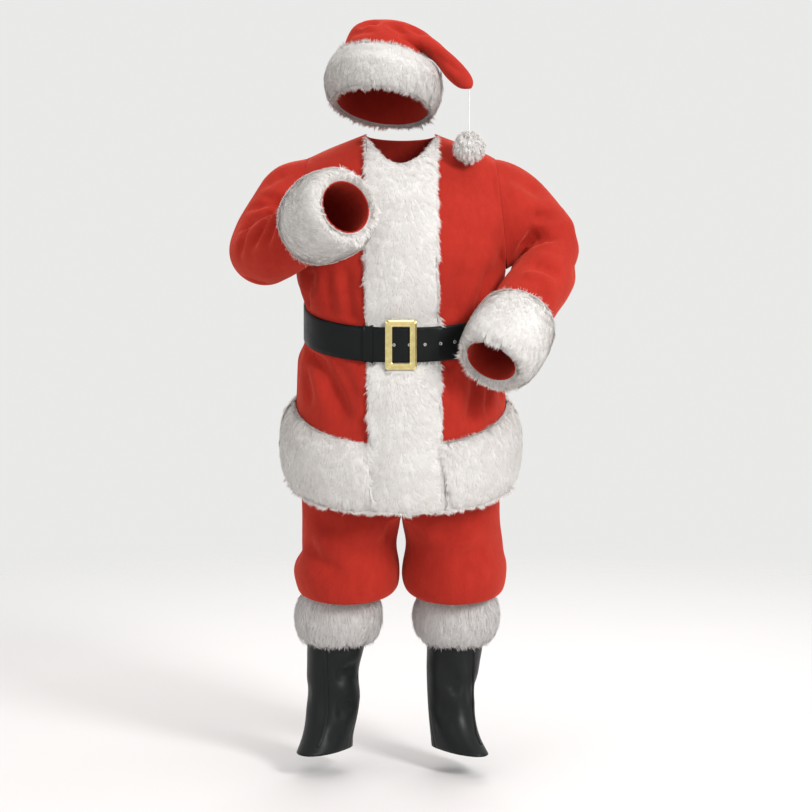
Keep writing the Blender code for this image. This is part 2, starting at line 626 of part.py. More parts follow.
class Sleeve:
    def __init__(self, hand):
        self.hand = hand
        self.side = 1 if hand == "left" else -1
        low, high = armhole_point(self.side, 0.0), armhole_point(self.side, math.pi)
        centre = (low + high) / 2
        centre.y = (armhole_point(self.side, math.pi / 2).y + armhole_point(self.side, 1.5 * math.pi).y) / 2
        up = Vector((high.x - low.x, 0, high.z - low.z)).normalized()
        self.out = Vector((self.side * up.z, 0, -self.side * up.x))
        centre += self.out * SEAM_GAP * 1.3
        points = [Vector(p) - Vector((0, 0, HOLD_HEIGHT)) for p in SLEEVE_LINE[hand]]
        facings = [(0.0, self.out)] + [(share, Vector(way).normalized()) for share, *way in SLEEVE_FACES[hand]]
        self.line = Line([centre, *points], facings, up)
        self.sizes = SLEEVE_SIZES[hand]
        self.centre, self.up = centre, up

    def fold(self, turn, share):
        depth = 0.0
        for at, round_at, spread, reach, most in SLEEVE_FOLDS[self.hand]:
            off = (turn - math.radians(round_at) + math.pi) % (2 * math.pi) - math.pi
            depth += most * math.exp(-((share - at) / spread) ** 2 - (off / math.radians(reach)) ** 2)
        return depth

    def __call__(self, turn, share):
        """A point of the sleeve's outside, turn round it and share of its length from the armhole."""
        place, tangent, up = self.line.frame(share)
        ahead = tangent.cross(up) * self.side
        start = armhole_point(self.side, turn) + self.out * SEAM_GAP * 1.3 - self.centre
        tube = smooth(share / 0.20)
        fold = self.fold(turn, share) * tube
        along_up = -(self.sizes("up", share) - fold) * math.cos(turn)
        along_ahead = (self.sizes("front", share) - fold) * math.sin(turn)
        local_up = start.dot(self.up) * (1 - tube) + along_up * tube
        local_ahead = -start.y * (1 - tube) + along_ahead * tube
        local_out = start.dot(self.out) * (1 - tube)
        return place + up * local_up + ahead * local_ahead + tangent * local_out

    def normal(self, turn, share):
        place, _, _ = self.line.frame(share)
        normal = normal_of(self, turn, max(share, 0.004), 0.02, 0.004, place)
        if share == 0.0:
            normal = (normal - self.out * normal.dot(self.out)).normalized()
        return normal


def build_sleeve(hand):
    sleeve = Sleeve(hand)
    start = CUFF_FROM[hand]
    cuff_shares = [start + (1 - start) * s for s in CUFF.stations]
    shares = [s for s in SLEEVE_SHARES if s < start - 0.02] + cuff_shares
    turns = [2 * math.pi * k / SLEEVE_COLUMNS for k in range(SLEEVE_COLUMNS)]
    outer = [[sleeve(t, s) for t in turns] for s in shares]
    normals = [[sleeve.normal(t, s) for t in turns] for s in shares]
    inner = [[p - n * PLUSH for p, n in zip(ring, ns)] for ring, ns in zip(outer, normals)]
    wall("sleeve_" + hand, flat(outer), flat(inner),
         grid_faces(len(shares), SLEEVE_COLUMNS, closed=True), "plush")

    cuff_outer, cuff_inner = [], []
    for station, share, ring, ns in zip(CUFF.stations, cuff_shares, outer[-len(cuff_shares):],
                                        normals[-len(cuff_shares):]):
        place, tangent, _ = sleeve.line.frame(share)
        pile, lip = CUFF("pile", station), CUFF("lip", station)
        to_body = Vector((-place.x, -place.y, 0)).normalized()
        press = [1 - CUFF_PRESSED[hand] * max(n.dot(to_body), 0.0) for n in ns]
        cuff_outer.append([p + n * pile * soft + tangent * lip for p, n, soft in zip(ring, ns, press)])
        cuff_inner.append([p + n * LIE_GAP for p, n in zip(ring, ns)])
    wall("fur_cuff_" + hand, flat(cuff_outer), flat(cuff_inner),
         grid_faces(len(cuff_shares), SLEEVE_COLUMNS, closed=True), "fur")


# ---------------------------------------------------------------- boot tops
BOOT_COLUMNS = 16
BOOT_LEVELS = [0.058, 0.085, 0.125, 0.185, 0.245, 0.290, *BOOT_FUR.stations, BOOT_RIM]
BOOT_FRONT = (-4, 4)         # columns of the boot's front panel, from its inner to its outer seam


def boot(hand, turn, level):
    side = 1 if hand == "left" else -1
    table = BOOTS[hand]
    x, y = section(turn, table("width", level), table("front", level), table("back", level), 2.1)
    toe = math.radians(table("turn", level))
    return Vector((side * (table("x", level) + x * math.cos(toe) - y * math.sin(toe)),
                   table("y", level) + x * math.sin(toe) + y * math.cos(toe), level - HOLD_HEIGHT))


def boot_point(hand, turn, level, out):
    side = 1 if hand == "left" else -1
    centre = Vector((side * BOOTS[hand]("x", level), BOOTS[hand]("y", level), level - HOLD_HEIGHT))
    normal = normal_of(lambda u, v: boot(hand, u, v), turn, level, 0.02, 0.004, centre)
    return boot(hand, turn, level) + normal * out


def build_boot(hand):
    step = 2 * math.pi / BOOT_COLUMNS
    seam = SEAM_GAP / 2 / 0.07
    low, high = BOOT_FRONT
    halves = {"front": [k * step for k in range(low, high + 1)],
              "back": [k * step for k in range(high, low + BOOT_COLUMNS + 1)]}
    for half, turns in halves.items():
        turns[0] += seam
        turns[-1] -= seam
        outer = [boot_point(hand, t, level, 0.0) for level in BOOT_LEVELS for t in turns]
        inner = [boot_point(hand, t, level, -VINYL) for level in BOOT_LEVELS for t in turns]
        wall(f"boot_{half}_{hand}", outer, inner, grid_faces(len(BOOT_LEVELS), len(turns)), "boot_vinyl")
    levels = BOOT_FUR.stations
    turns = [k * step for k in range(BOOT_COLUMNS)]
    outer = [boot_point(hand, t, level, BOOT_FUR("pile", level)) for level in levels for t in turns]
    inner = [boot_point(hand, t, level, LIE_GAP) for level in levels for t in turns]
    wall("fur_boot_" + hand, outer, inner, grid_faces(len(levels), BOOT_COLUMNS, closed=True), "fur")


# ---------------------------------------------------------------- trousers
LEG_SHARES = LEG.stations[1:]
SEAT_LEVELS = [0.740, 0.820, 0.900, 0.980, 1.050, 1.098, TROUSER_TOP]
HALF = BOOT_COLUMNS // 2


def seat(angle, level):
    """The trousers' outside above the crotch; its tilt follows the jacket's."""
    x, y = section(angle, SEAT("width", level), SEAT("front", level), SEAT("back", level),
                   SEAT("square", level))
    tilt = 0.26 * smooth((level - CROTCH) / 0.2)
    return Vector((x, y, level + tilt * y - HOLD_HEIGHT))


def leg(hand, turn, share):
    """One leg's outside: turn 0 is its front, 90 degrees its outer side. Share 0 is the crotch."""
    side = 1 if hand == "left" else -1
    level, centre, width, front, back, tilt = (
        LEG(name, share) for name in ("level", "x", "width", "front", "back", "tilt"))
    boot_x = BOOTS[hand]("x", BOOT_RIM)
    centre += (boot_x - 0.154) * smooth((share - 0.66) / 0.20)
    x, y = section(turn, width, front, back, 2.1)
    x += centre
    tube = smooth(share / 0.27)
    seat_point = seat(turn, CROTCH)
    flat_x = seat_point.x if math.sin(turn) > 1e-6 else 0.0
    x = flat_x * (1 - tube) + x * tube
    y = seat_point.y * (1 - tube) + y * tube
    if math.sin(turn) > 0:
        x += LEG_BULGE[hand] * math.sin(turn) * math.exp(-((share - 0.5) / 0.1) ** 2)
    drop = 0.012 * (1 - tube) * max(-math.sin(turn), 0.0)
    return Vector((side * max(x, SEAM_GAP / 2), y, level + tilt * y - drop - HOLD_HEIGHT))


def ring_normals(rings, side):
    """Unit normals of closed rings of points, from each point's neighbours."""
    normals = []
    for r, ring in enumerate(rings):
        below, above = rings[max(r - 1, 0)], rings[min(r + 1, len(rings) - 1)]
        count = len(ring)
        normals.append([(ring[(c + 1) % count] - ring[c - 1]).cross(above[c] - below[c]).normalized() * side
                        for c in range(count)])
    return normals


def build_leg(hand):
    side = 1 if hand == "left" else -1
    turns = [2 * math.pi * k / BOOT_COLUMNS for k in range(BOOT_COLUMNS)]
    rings = [[boot_point(hand, t, level, -VINYL - LIE_GAP) for t in turns] for level in TUCK_LEVELS[::-1]]
    rings += [[leg(hand, t, share) for t in turns] for share in (*reversed(LEG_SHARES), 0.0)]
    outer = flat(rings)
    inner = [p - n * PLUSH for p, n in zip(outer, flat(ring_normals(rings, side)))]
    rows = len(TUCK_LEVELS) + len(LEG_SHARES) + 1
    faces = grid_faces(rows, BOOT_COLUMNS, closed=True)

    columns = HALF + 1
    last_ring = (rows - 1) * BOOT_COLUMNS
    start = len(outer)
    for level in SEAT_LEVELS:
        for angle in turns[:columns]:
            place = seat(angle, level)
            place.x = max(place.x, SEAM_GAP / 2)
            normal = normal_of(seat, angle, level, 0.01, 0.004, Vector((0, 0, level - HOLD_HEIGHT)))
            within = place - normal * PLUSH
            within.x = max(within.x, SEAM_GAP / 2)
            outer.append(Vector((side * place.x, place.y, place.z)))
            inner.append(Vector((side * within.x, within.y, within.z)))
    for c in range(HALF):
        faces.append((last_ring + c, last_ring + c + 1, start + c + 1))
        faces.append((last_ring + c, start + c + 1, start + c))
    faces += grid_faces(len(SEAT_LEVELS), columns, start=start)
    wall("trouser_leg_" + hand, outer, inner, faces, "plush")


# ---------------------------------------------------------------- belt
def belt_columns():
    """Angle and lift of the strap's columns, from its start behind the buckle to its tail's end."""
    right, left, back = jacket_grids()
    row = PANEL_LEVELS.index(BELT_LEVEL)
    start = [(angle_at(x, BELT_LEVEL), 0.0) for x in (UNDER_FROM, -0.058, -0.079, -0.100)]
    round_back = [a for a, _ in right[row][len(PLACKET_X) + 1:]]
    round_back += [a - 2 * math.pi for a, _ in reversed(back[row][1:-1])]
    round_back += [a - 2 * math.pi for a, _ in reversed(left[row])]
    tail = [(angle_at(x, BELT_LEVEL) - 2 * math.pi, STRAP + LIE_GAP)
            for x in (0.005, UNDER_FROM, -0.058, -0.079, TAIL_TO)]
    tail = [(angle_at(0.047, BELT_LEVEL) - 2 * math.pi, 0.0), *tail]
    return start + [(a, 0.0) for a in round_back] + tail


def belt_lift(angle):
    """How far the strap's back is from the jacket: it rides over the placket in front."""
    place = body(angle, BELT_LEVEL)
    if place.y > 0:
        return LIE_GAP
    return LIE_GAP + (BELT_LIFT - LIE_GAP) * smooth((0.150 - abs(place.x)) / 0.045)


def belt_point(angle, height, out):
    return body(angle, BELT_LEVEL + height) + body_normal(angle, BELT_LEVEL) * out


def build_strap():
    columns = belt_columns()
    heights = (-BELT_HALF, 0.0, BELT_HALF)
    outer = [belt_point(a, h, belt_lift(a) + over + STRAP) for h in heights for a, over in columns]
    inner = [belt_point(a, h, belt_lift(a) + over) for h in heights for a, over in columns]
    return wall("belt_strap", outer, inner, grid_faces(len(heights), len(columns)), "belt_vinyl")


def build_keeper():
    """A loop round both layers of the strap."""
    back = BELT_LIFT - KEEPER_THICK - LIE_GAP
    front = BELT_LIFT + 2 * STRAP + 2 * LIE_GAP
    high = BELT_HALF + LIE_GAP * 2
    loops = []
    for x in KEEPER_X:
        angle = angle_at(x, BELT_LEVEL)
        for grow in (KEEPER_SIDE, 0.0):
            near, far = front + (KEEPER_THICK if grow else 0.0), back + (0.0 if grow else KEEPER_THICK)
            loops.append([belt_point(angle, h * (high + grow), out)
                          for h, out in ((-1, far), (1, far), (1, near), (-1, near))])
    mesh = bmesh.new()
    verts = [[mesh.verts.new(p) for p in loop] for loop in loops]
    for k in range(4):
        after = (k + 1) % 4
        for c in range(len(KEEPER_X) - 1):
            out_a, in_a, out_b, in_b = verts[2 * c], verts[2 * c + 1], verts[2 * c + 2], verts[2 * c + 3]
            mesh.faces.new((out_a[k], out_a[after], out_b[after], out_b[k]))
            mesh.faces.new((in_a[k], in_b[k], in_b[after], in_a[after]))
        for out, within in ((verts[0], verts[1]), (verts[-2], verts[-1])):
            mesh.faces.new((out[k], out[after], within[after], within[k]))
    return close(mesh, "belt_keeper", "belt_vinyl")


def close(mesh, name, look):
    bmesh.ops.recalc_face_normals(mesh, faces=mesh.faces)
    data = bpy.data.meshes.new(name)
    mesh.to_mesh(data)
    mesh.free()
    data.shade_smooth()
    data.set_sharp_from_angle(angle=math.radians(35))
    return add_object(name, data, look)


def lathe(profiles, placing, name, look):
    """A solid from closed loops of points: each profile is one loop, joined to the next and to the first."""
    mesh = bmesh.new()
    rings = [[mesh.verts.new(placing @ Vector(p)) for p in loop] for loop in profiles]
    for ring, after in zip(rings, rings[1:] + rings[:1]):
        count = len(ring)
        for k in range(count):
            mesh.faces.new((ring[k], ring[(k + 1) % count], after[(k + 1) % count], after[k]))
    return close(mesh, name, look)


def rounded_frame(half_x, half_z, corner, depth):
    """A loop round a rectangle with cut corners, at one depth (y)."""
    x, z, c = half_x, half_z, corner
    return [(x, depth, z - c), (x - c * 0.3, depth, z - c * 0.3), (x - c, depth, z),
            (c - x, depth, z), (c * 0.3 - x, depth, z - c * 0.3), (-x, depth, z - c),
            (-x, depth, c - z), (c * 0.3 - x, depth, c * 0.3 - z), (c - x, depth, -z),
            (x - c, depth, -z), (x - c * 0.3, depth, c * 0.3 - z), (x, depth, c - z)]


def build_buckle():
    """A gold frame with a bevelled outside and a raised rim round its hole."""
    lift = BELT_LIFT + 2 * STRAP + LIE_GAP + 0.0006
    seat_y = belt_point(0.0, 0.0, lift).y
    placing = Matrix.Translation((0, seat_y, belt_point(0.0, 0.0, 0.0).z))
    (out_x, out_z), (in_x, in_z) = BUCKLE_HALF, BUCKLE_HOLE
    thick, corner = -BUCKLE_THICK, BUCKLE_CORNER
    loops = (
        rounded_frame(out_x, out_z, corner, 0.0),
        rounded_frame(out_x, out_z, corner, thick * 0.45),
        rounded_frame(out_x - 0.004, out_z - 0.004, corner, thick),
        rounded_frame(in_x + 0.006, in_z + 0.006, 0.004, thick * 0.8),
        rounded_frame(in_x + 0.003, in_z + 0.003, 0.003, thick * 0.9),
        rounded_frame(in_x, in_z, 0.002, thick * 0.6),
        rounded_frame(in_x, in_z, 0.002, 0.0),
    )
    return lathe(loops, placing, "buckle", "gold")


def plug(ring, placing):
    """A short solid bar through a ring of points, used to cut a hole."""
    mesh = bmesh.new()
    ends = [[mesh.verts.new(placing @ (Vector(p) + Vector((0, y, 0)))) for p in ring] for y in (-0.0035, 0.001)]
    for k in range(len(ring)):
        after = (k + 1) % len(ring)
        mesh.faces.new((ends[0][k], ends[0][after], ends[1][after], ends[1][k]))
    mesh.faces.new(ends[0])
    mesh.faces.new(ends[1][::-1])
    return close(mesh, "plug", "nickel")


def facing(angle, height, out):
    """A placing whose -Y faces out of the belt at a point."""
    normal = body_normal(angle, BELT_LEVEL)
    turn = Vector((0, -1, 0)).rotation_difference(normal).to_matrix().to_4x4()
    return Matrix.Translation(belt_point(angle, height, out)) @ turn


def cut(thing, cutter):
    """Cut one object out of another and throw the cutter away."""
    with_hole = thing.modifiers.new("hole", "BOOLEAN")
    with_hole.object = cutter
    with_hole.solver = "EXACT"
    bpy.context.view_layer.update()
    mesh = bpy.data.meshes.new_from_object(thing.evaluated_get(bpy.context.evaluated_depsgraph_get()))
    thing.modifiers.clear()
    thing.data = mesh
    bpy.data.objects.remove(cutter)


def build_eyelets(strap):
    """Eyelets through the tail, each with its flange in front and its barrel in a hole of the strap."""
    sides = 8
    for number, x in enumerate(EYELETS_X, 1):
        angle = angle_at(x, BELT_LEVEL)
        over = STRAP + LIE_GAP if x < 0.005 else (STRAP + LIE_GAP) * max(0.0, (0.047 - x) / 0.042)
        lift = belt_lift(angle) + over
        placing = facing(angle, 0.0, lift)

        def ring(radius, depth):
            return [(radius * math.cos(2 * math.pi * k / sides), depth, radius * math.sin(2 * math.pi * k / sides))
                    for k in range(sides)]

        face = -STRAP - LIE_GAP
        lathe((ring(EYELET_BARREL, 0.0), ring(EYELET_BARREL, face), ring(EYELET_FLANGE, face),
               ring(EYELET_FLANGE - 0.0006, face - 0.0008), ring(EYELET_HOLE, face - 0.0006),
               ring(EYELET_HOLE, 0.0)), placing, f"eyelet_{number}", "nickel")
        cut(strap, plug(ring(EYELET_BARREL + LIE_GAP, 0.0), placing))


# ---------------------------------------------------------------- hat
HAT_COLUMNS = 18
HAT_SHARES = [0.25, 0.30, 0.36, 0.42, 0.49, 0.57, 0.65, 0.73, 0.81, 0.88, 0.94, 0.98, 1.0]


def hat(turn, share):
    """A point of the crown's outside: turn 0 is its front and 90 degrees the wearer's left."""
    left = Vector((HAT("left_x", share), HAT("y", share), HAT("left_z", share) - HOLD_HEIGHT))
    right = Vector((HAT("right_x", share), HAT("y", share), HAT("right_z", share) - HOLD_HEIGHT))
    ahead = Vector((0, -1, HAT("rise", share))) * HAT("deep", share)
    return (left + right) / 2 + (right - left) / 2 * math.sin(turn) + ahead * math.cos(turn)


def hat_middle(share):
    return (hat(0.0, share) + hat(math.pi, share)) / 2


def hat_normal(turn, share):
    share = min(max(share, 0.006), 0.994)
    return normal_of(hat, turn, share, 0.02, 0.006, hat_middle(share))


def hat_along(share):
    return (hat_middle(share + 0.02) - hat_middle(share)).normalized()


def build_hat():
    turns = [2 * math.pi * k / HAT_COLUMNS for k in range(HAT_COLUMNS)]
    brim_shares = [BRIM_SHARE * s for s in BRIM_FUR.stations]
    shares = brim_shares + [s for s in HAT_SHARES if s > BRIM_SHARE]
    outer, inner = [], []
    for share in shares:
        for turn in turns:
            outer.append(hat(turn, share))
            inner.append(hat(turn, share) - hat_normal(turn, share) * PLUSH)
    faces = grid_faces(len(shares), HAT_COLUMNS, closed=True)
    last = (len(shares) - 1) * HAT_COLUMNS
    faces.append(tuple(last + k for k in range(HAT_COLUMNS)))
    wall("hat_crown", outer, inner, faces, "plush")

    outer, inner = [], []
    for station, share in zip(BRIM_FUR.stations, brim_shares):
        lip = hat_along(share) * BRIM_FUR("lip", station)
        for turn in turns:
            place, normal = hat(turn, share), hat_normal(turn, share)
            outer.append(place + normal * BRIM_FUR("pile", station) + lip)
            inner.append(place + normal * LIE_GAP)
    wall("fur_brim", outer, inner, grid_faces(len(brim_shares), HAT_COLUMNS, closed=True), "fur")


def build_string():
    sides, rows = 6, 5
    top = Vector(HAT_TIP) - Vector((0, 0, HOLD_HEIGHT))
    mesh = bmesh.new()
    rings = []
    for r in range(rows):
        drop = STRING_LENGTH * r / (rows - 1)
        rings.append([mesh.verts.new(top + Vector((STRING_RADIUS * math.cos(math.tau * k / sides),
                                                   STRING_RADIUS * math.sin(math.tau * k / sides), -drop)))
                      for k in range(sides)])
    for ring, after in zip(rings, rings[1:]):
        for k in range(sides):
            mesh.faces.new((ring[k], ring[(k + 1) % sides], after[(k + 1) % sides], after[k]))
    mesh.faces.new(rings[0])
    mesh.faces.new(rings[-1][::-1])
    close(mesh, "hat_string", "cord")


def build_pompom():
    """A ball of 80 short locks, their roots fused into the core."""
    mesh = bmesh.new()
    core = POMPOM_RADIUS * 0.86
    centre = Vector(HAT_TIP) - Vector((0, 0, HOLD_HEIGHT + STRING_LENGTH + LIE_GAP + core))
    bmesh.ops.create_icosphere(mesh, subdivisions=2, radius=core)
    roots = list(mesh.faces)
    bmesh.ops.inset_individual(mesh, faces=roots, thickness=0.0012)
    for face in roots:
        tip = bmesh.ops.poke(mesh, faces=[face])["verts"][0]
        tip.co = tip.co.normalized() * POMPOM_RADIUS
    bmesh.ops.translate(mesh, verts=mesh.verts, vec=centre)
    close(mesh, "hat_pompom", "fur")


build_jacket_body()
for hand in ("left", "right"):
    build_sleeve(hand)
    build_boot(hand)
    build_leg(hand)
strap = build_strap()
build_keeper()
build_buckle()
build_eyelets(strap)
build_hat()
build_string()
build_pompom()
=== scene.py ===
"""The looks of the santa suit: plush, fur, vinyl, gold and the pompom's string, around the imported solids.

Each cloth piece is a thin shell on its solid's form: the node's mesh is smoothed by Loop subdivision, and
its folds are soft troughs and ridges along lines that are named in the tables below. Each fur piece is a
low backing with a pile of tapered hairs whose tips reach the solid's surface.
Metres, or mm in the tables that say so. +Z is up, -Y front, +X the wearer's left. The origin is the
wearer's neck, 1.560 m above the floor.
"""
import math

import bmesh
import bpy
import numpy as np
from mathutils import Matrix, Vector
from mathutils.bvhtree import BVHTree
from mathutils.kdtree import KDTree


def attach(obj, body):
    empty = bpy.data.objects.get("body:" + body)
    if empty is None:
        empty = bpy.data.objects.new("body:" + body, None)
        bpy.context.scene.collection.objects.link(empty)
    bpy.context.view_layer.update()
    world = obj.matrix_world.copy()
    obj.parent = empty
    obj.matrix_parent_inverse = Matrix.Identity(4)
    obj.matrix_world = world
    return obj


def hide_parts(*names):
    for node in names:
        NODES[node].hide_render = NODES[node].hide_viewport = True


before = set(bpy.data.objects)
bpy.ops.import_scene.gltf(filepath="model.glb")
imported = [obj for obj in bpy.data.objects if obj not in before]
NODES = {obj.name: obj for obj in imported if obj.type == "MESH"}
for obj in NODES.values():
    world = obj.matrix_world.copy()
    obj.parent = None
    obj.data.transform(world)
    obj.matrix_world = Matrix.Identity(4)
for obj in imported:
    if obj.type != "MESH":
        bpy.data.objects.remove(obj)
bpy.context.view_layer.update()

HOLD_HEIGHT = 1.560
SCENE = bpy.context.scene


# -------------------------------- camera, floor and light
SENSOR_MM = 36
FOCAL_PX, FRAME_PX = 2200, 812
HORIZON_ROW, MIDDLE_COLUMN = 235, 401
CAMERA_AWAY, CAMERA_HEIGHT = 5.5, 1.35
FLOOR_RADIUS = 9
WORLD_COLOUR = (0.82, 0.82, 0.81, 1)
LIGHTS = (
    # name, place, what it points at, size, watts
    ("key", (3.2, -4.0, 2.0), (0, 0, -0.35), (1.2, 1.8), 240),
    ("fill", (-3.2, -3.6, 0.8), (0, 0, -0.6), (1.4, 2.4), 15),
    ("top", (0.4, -0.8, 3.0), (0, 0, 0), (2.4, 1.6), 35),
    ("back", (0.5, 3.4, 1.8), (0, 0, -0.3), (2.4, 1.8), 60),
)


def build_camera():
    data = bpy.data.cameras.new("camera")
    data.sensor_width = SENSOR_MM
    data.lens = SENSOR_MM * FOCAL_PX / FRAME_PX
    data.shift_x = (FRAME_PX / 2 - MIDDLE_COLUMN) / FRAME_PX
    camera = bpy.data.objects.new("camera", data)
    pitch = math.atan((FRAME_PX / 2 - HORIZON_ROW) / FOCAL_PX)
    camera.location = (0, -CAMERA_AWAY, CAMERA_HEIGHT - HOLD_HEIGHT)
    camera.rotation_euler = (math.radians(90) - pitch, 0, 0)
    SCENE.collection.objects.link(camera)
    SCENE.camera = camera


def area_light(name, place, target, size, watts):
    data = bpy.data.lights.new(name, "AREA")
    data.shape, data.size, data.size_y = "RECTANGLE", *size
    data.energy = watts
    light = bpy.data.objects.new(name, data)
    light.location = place
    aim = Vector(target) - Vector(place)
    light.rotation_euler = aim.to_track_quat("-Z", "Y").to_euler()
    SCENE.collection.objects.link(light)


def build_stage():
    mesh = bpy.data.meshes.new("floor")
    bm = bmesh.new()
    bmesh.ops.create_circle(bm, cap_ends=True, radius=FLOOR_RADIUS, segments=96)
    bmesh.ops.translate(bm, verts=bm.verts, vec=(0, 0, -HOLD_HEIGHT))
    bm.to_mesh(mesh)
    floor = bpy.data.objects.new("floor", mesh)
    SCENE.collection.objects.link(floor)
    floor.data.materials.append(floor_material())
    world = bpy.data.worlds.new("studio")
    SCENE.world = world
    world.use_nodes = True
    background = world.node_tree.nodes["Background"].inputs
    background["Color"].default_value = WORLD_COLOUR
    background["Strength"].default_value = 1.0
    for light in LIGHTS:
        area_light(*light)
    SCENE.view_settings.view_transform = "Standard"


# -------------------------------- materials
class Nodes:
    """Short words for building a material's node tree."""

    def __init__(self, name):
        self.material = bpy.data.materials.new(name)
        self.material.use_nodes = True
        self.tree = self.material.node_tree
        self.shader = self.tree.nodes["Principled BSDF"]
        self.place = self.add("ShaderNodeTexCoord").outputs["Object"]

    def add(self, kind, **values):
        node = self.tree.nodes.new(kind)
        for key, value in values.items():
            setattr(node, key, value)
        return node

    def link(self, a, b):
        self.tree.links.new(a, b)

    def fill(self, node, **values):
        for key, value in values.items():
            node.inputs[key.replace("_", " ")].default_value = value

    def set(self, **values):
        self.fill(self.shader, **values)

    def stretched(self, scale):
        node = self.add("ShaderNodeMapping")
        self.link(self.place, node.inputs["Vector"])
        self.fill(node, Scale=scale)
        return node.outputs["Vector"]

    def noise(self, scale, detail=2.0, rough=0.5, vector=None, distortion=0.0):
        node = self.add("ShaderNodeTexNoise")
        self.link(vector or self.place, node.inputs["Vector"])
        self.fill(node, Scale=scale, Detail=detail, Roughness=rough, Distortion=distortion)
        return node.outputs["Fac"]

    def ramp(self, value, *stops):
        node = self.add("ShaderNodeValToRGB")
        self.link(value, node.inputs["Fac"])
        element = node.color_ramp.elements
        while len(element) < len(stops):
            element.new(0.5)
        for e, (at, colour) in zip(element, stops):
            e.position = at
            e.color = (*colour, 1)
        return node.outputs["Color"]

    def grey(self, value, low, high, frm=0.0, to=1.0):
        node = self.add("ShaderNodeMapRange")
        self.link(value, node.inputs["Value"])
        self.fill(node, From_Min=frm, From_Max=to, To_Min=low, To_Max=high)
        return node.outputs["Result"]

    def mixed(self, amount, base, colour):
        """base with a plain colour over it, by amount. Sockets 6 and 7 take the two colours."""
        node = self.add("ShaderNodeMix", data_type="RGBA")
        self.link(amount, node.inputs[0])
        self.link(base, node.inputs[6])
        node.inputs[7].default_value = (*colour, 1)
        return node.outputs[2]

    def bump(self, *layers):
        """layers are (height, strength, distance in metres), the broadest first."""
        last = None
        for height, strength, distance in layers:
            node = self.add("ShaderNodeBump")
            self.fill(node, Strength=strength, Distance=distance)
            self.link(height, node.inputs["Height"])
            if last:
                self.link(last, node.inputs["Normal"])
            last = node.outputs["Normal"]
        self.link(last, self.shader.inputs["Normal"])

    def colour(self, output):
        self.link(output, self.shader.inputs["Base Color"])

    def rough(self, output):
        self.link(output, self.shader.inputs["Roughness"])


def floor_material():
    n = Nodes("studio_floor")
    n.set(Roughness=0.75, Specular_IOR_Level=0.2)
    n.colour(n.ramp(n.noise(0.8), (0.35, (0.72, 0.70, 0.695)), (0.7, (0.74, 0.72, 0.715))))
    away = n.add("ShaderNodeVectorMath", operation="LENGTH")
    n.link(n.place, away.inputs[0])
    n.link(n.grey(away.outputs["Value"], 1.0, 0.0, 2.2, 4.6), n.shader.inputs["Alpha"])
    return n.material


def plush_material():
    n = Nodes("red_plush")
    n.set(Roughness=0.9, Specular_IOR_Level=0.12, Sheen_Weight=0.55, Sheen_Roughness=0.45,
          Sheen_Tint=(1.0, 0.16, 0.10, 1))
    broad = n.noise(7, 3, 0.55)
    nap = n.noise(60, 4, 0.65, n.stretched((1, 1, 0.45)), 0.4)
    fibre = n.noise(900, 2, 0.6, n.stretched((1, 1, 0.5)))
    red = n.ramp(broad, (0.30, (0.335, 0.020, 0.012)), (0.72, (0.420, 0.027, 0.016)))
    red = n.mixed(n.grey(nap, 0.0, 0.35, 0.35, 0.75), red, (0.25, 0.010, 0.007))
    n.colour(n.mixed(n.grey(fibre, 0.0, 0.35, 0.4, 0.8), red, (0.20, 0.007, 0.005)))
    n.bump((nap, 0.35, 0.004), (fibre, 0.5, 0.0012))
    return n.material


THROUGH = 0.38      # how much of a hair's light passes through it, so hairs lit from behind aren't grey


def fur_material(name, dark, light):
    n = Nodes(name)
    n.set(Roughness=0.8, Specular_IOR_Level=0.2, Sheen_Weight=0.2, Sheen_Roughness=0.5)
    white = n.ramp(n.noise(20, 4, 0.6), (0.32, dark), (0.66, light))
    n.colour(white)
    through, both = n.add("ShaderNodeBsdfTranslucent"), n.add("ShaderNodeMixShader")
    n.link(white, through.inputs["Color"])
    both.inputs["Fac"].default_value = THROUGH
    n.link(n.shader.outputs["BSDF"], both.inputs[1])
    n.link(through.outputs["BSDF"], both.inputs[2])
    n.link(both.outputs["Shader"], n.tree.nodes["Material Output"].inputs["Surface"])
    return n.material


# A backing's colours are darker than its fur's: painted shade, for the shade that the pile casts on it
# between the hairs.
def backing_material(name, dark, light):
    n = Nodes(name)
    n.set(Roughness=0.95, Specular_IOR_Level=0.1)
    fine = n.noise(260, 3, 0.6, n.stretched((1, 1, 0.25)))
    n.colour(n.ramp(fine, (0.25, dark), (0.75, light)))
    n.bump((fine, 0.25, 0.002))
    return n.material


def vinyl_material(name, shine, grain, dent, gloss):
    n = Nodes(name)
    n.set(Specular_IOR_Level=gloss)
    pebbles = n.add("ShaderNodeTexVoronoi", feature="SMOOTH_F1")
    n.link(n.place, pebbles.inputs["Vector"])
    n.fill(pebbles, Scale=grain)
    soft = n.noise(5, 3, 0.5)
    n.colour(n.ramp(soft, (0.3, (0.0042, 0.0052, 0.0054)), (0.7, (0.0072, 0.0084, 0.0086))))
    n.rough(n.grey(n.noise(30, 4), shine - 0.05, shine + 0.08, 0.3, 0.7))
    n.bump((soft, dent, 0.02), (pebbles.outputs["Distance"], 0.18, 0.0006))
    return n.material


def metal_material(name, dark, light, roughness):
    n = Nodes(name)
    n.set(Metallic=1.0)
    rub = n.noise(90, 4, 0.6)
    n.colour(n.ramp(rub, (0.3, dark), (0.7, light)))
    n.rough(n.grey(rub, roughness, roughness + 0.12, 0.3, 0.7))
    n.bump((n.noise(400, 3), 0.06, 0.0004))
    return n.material


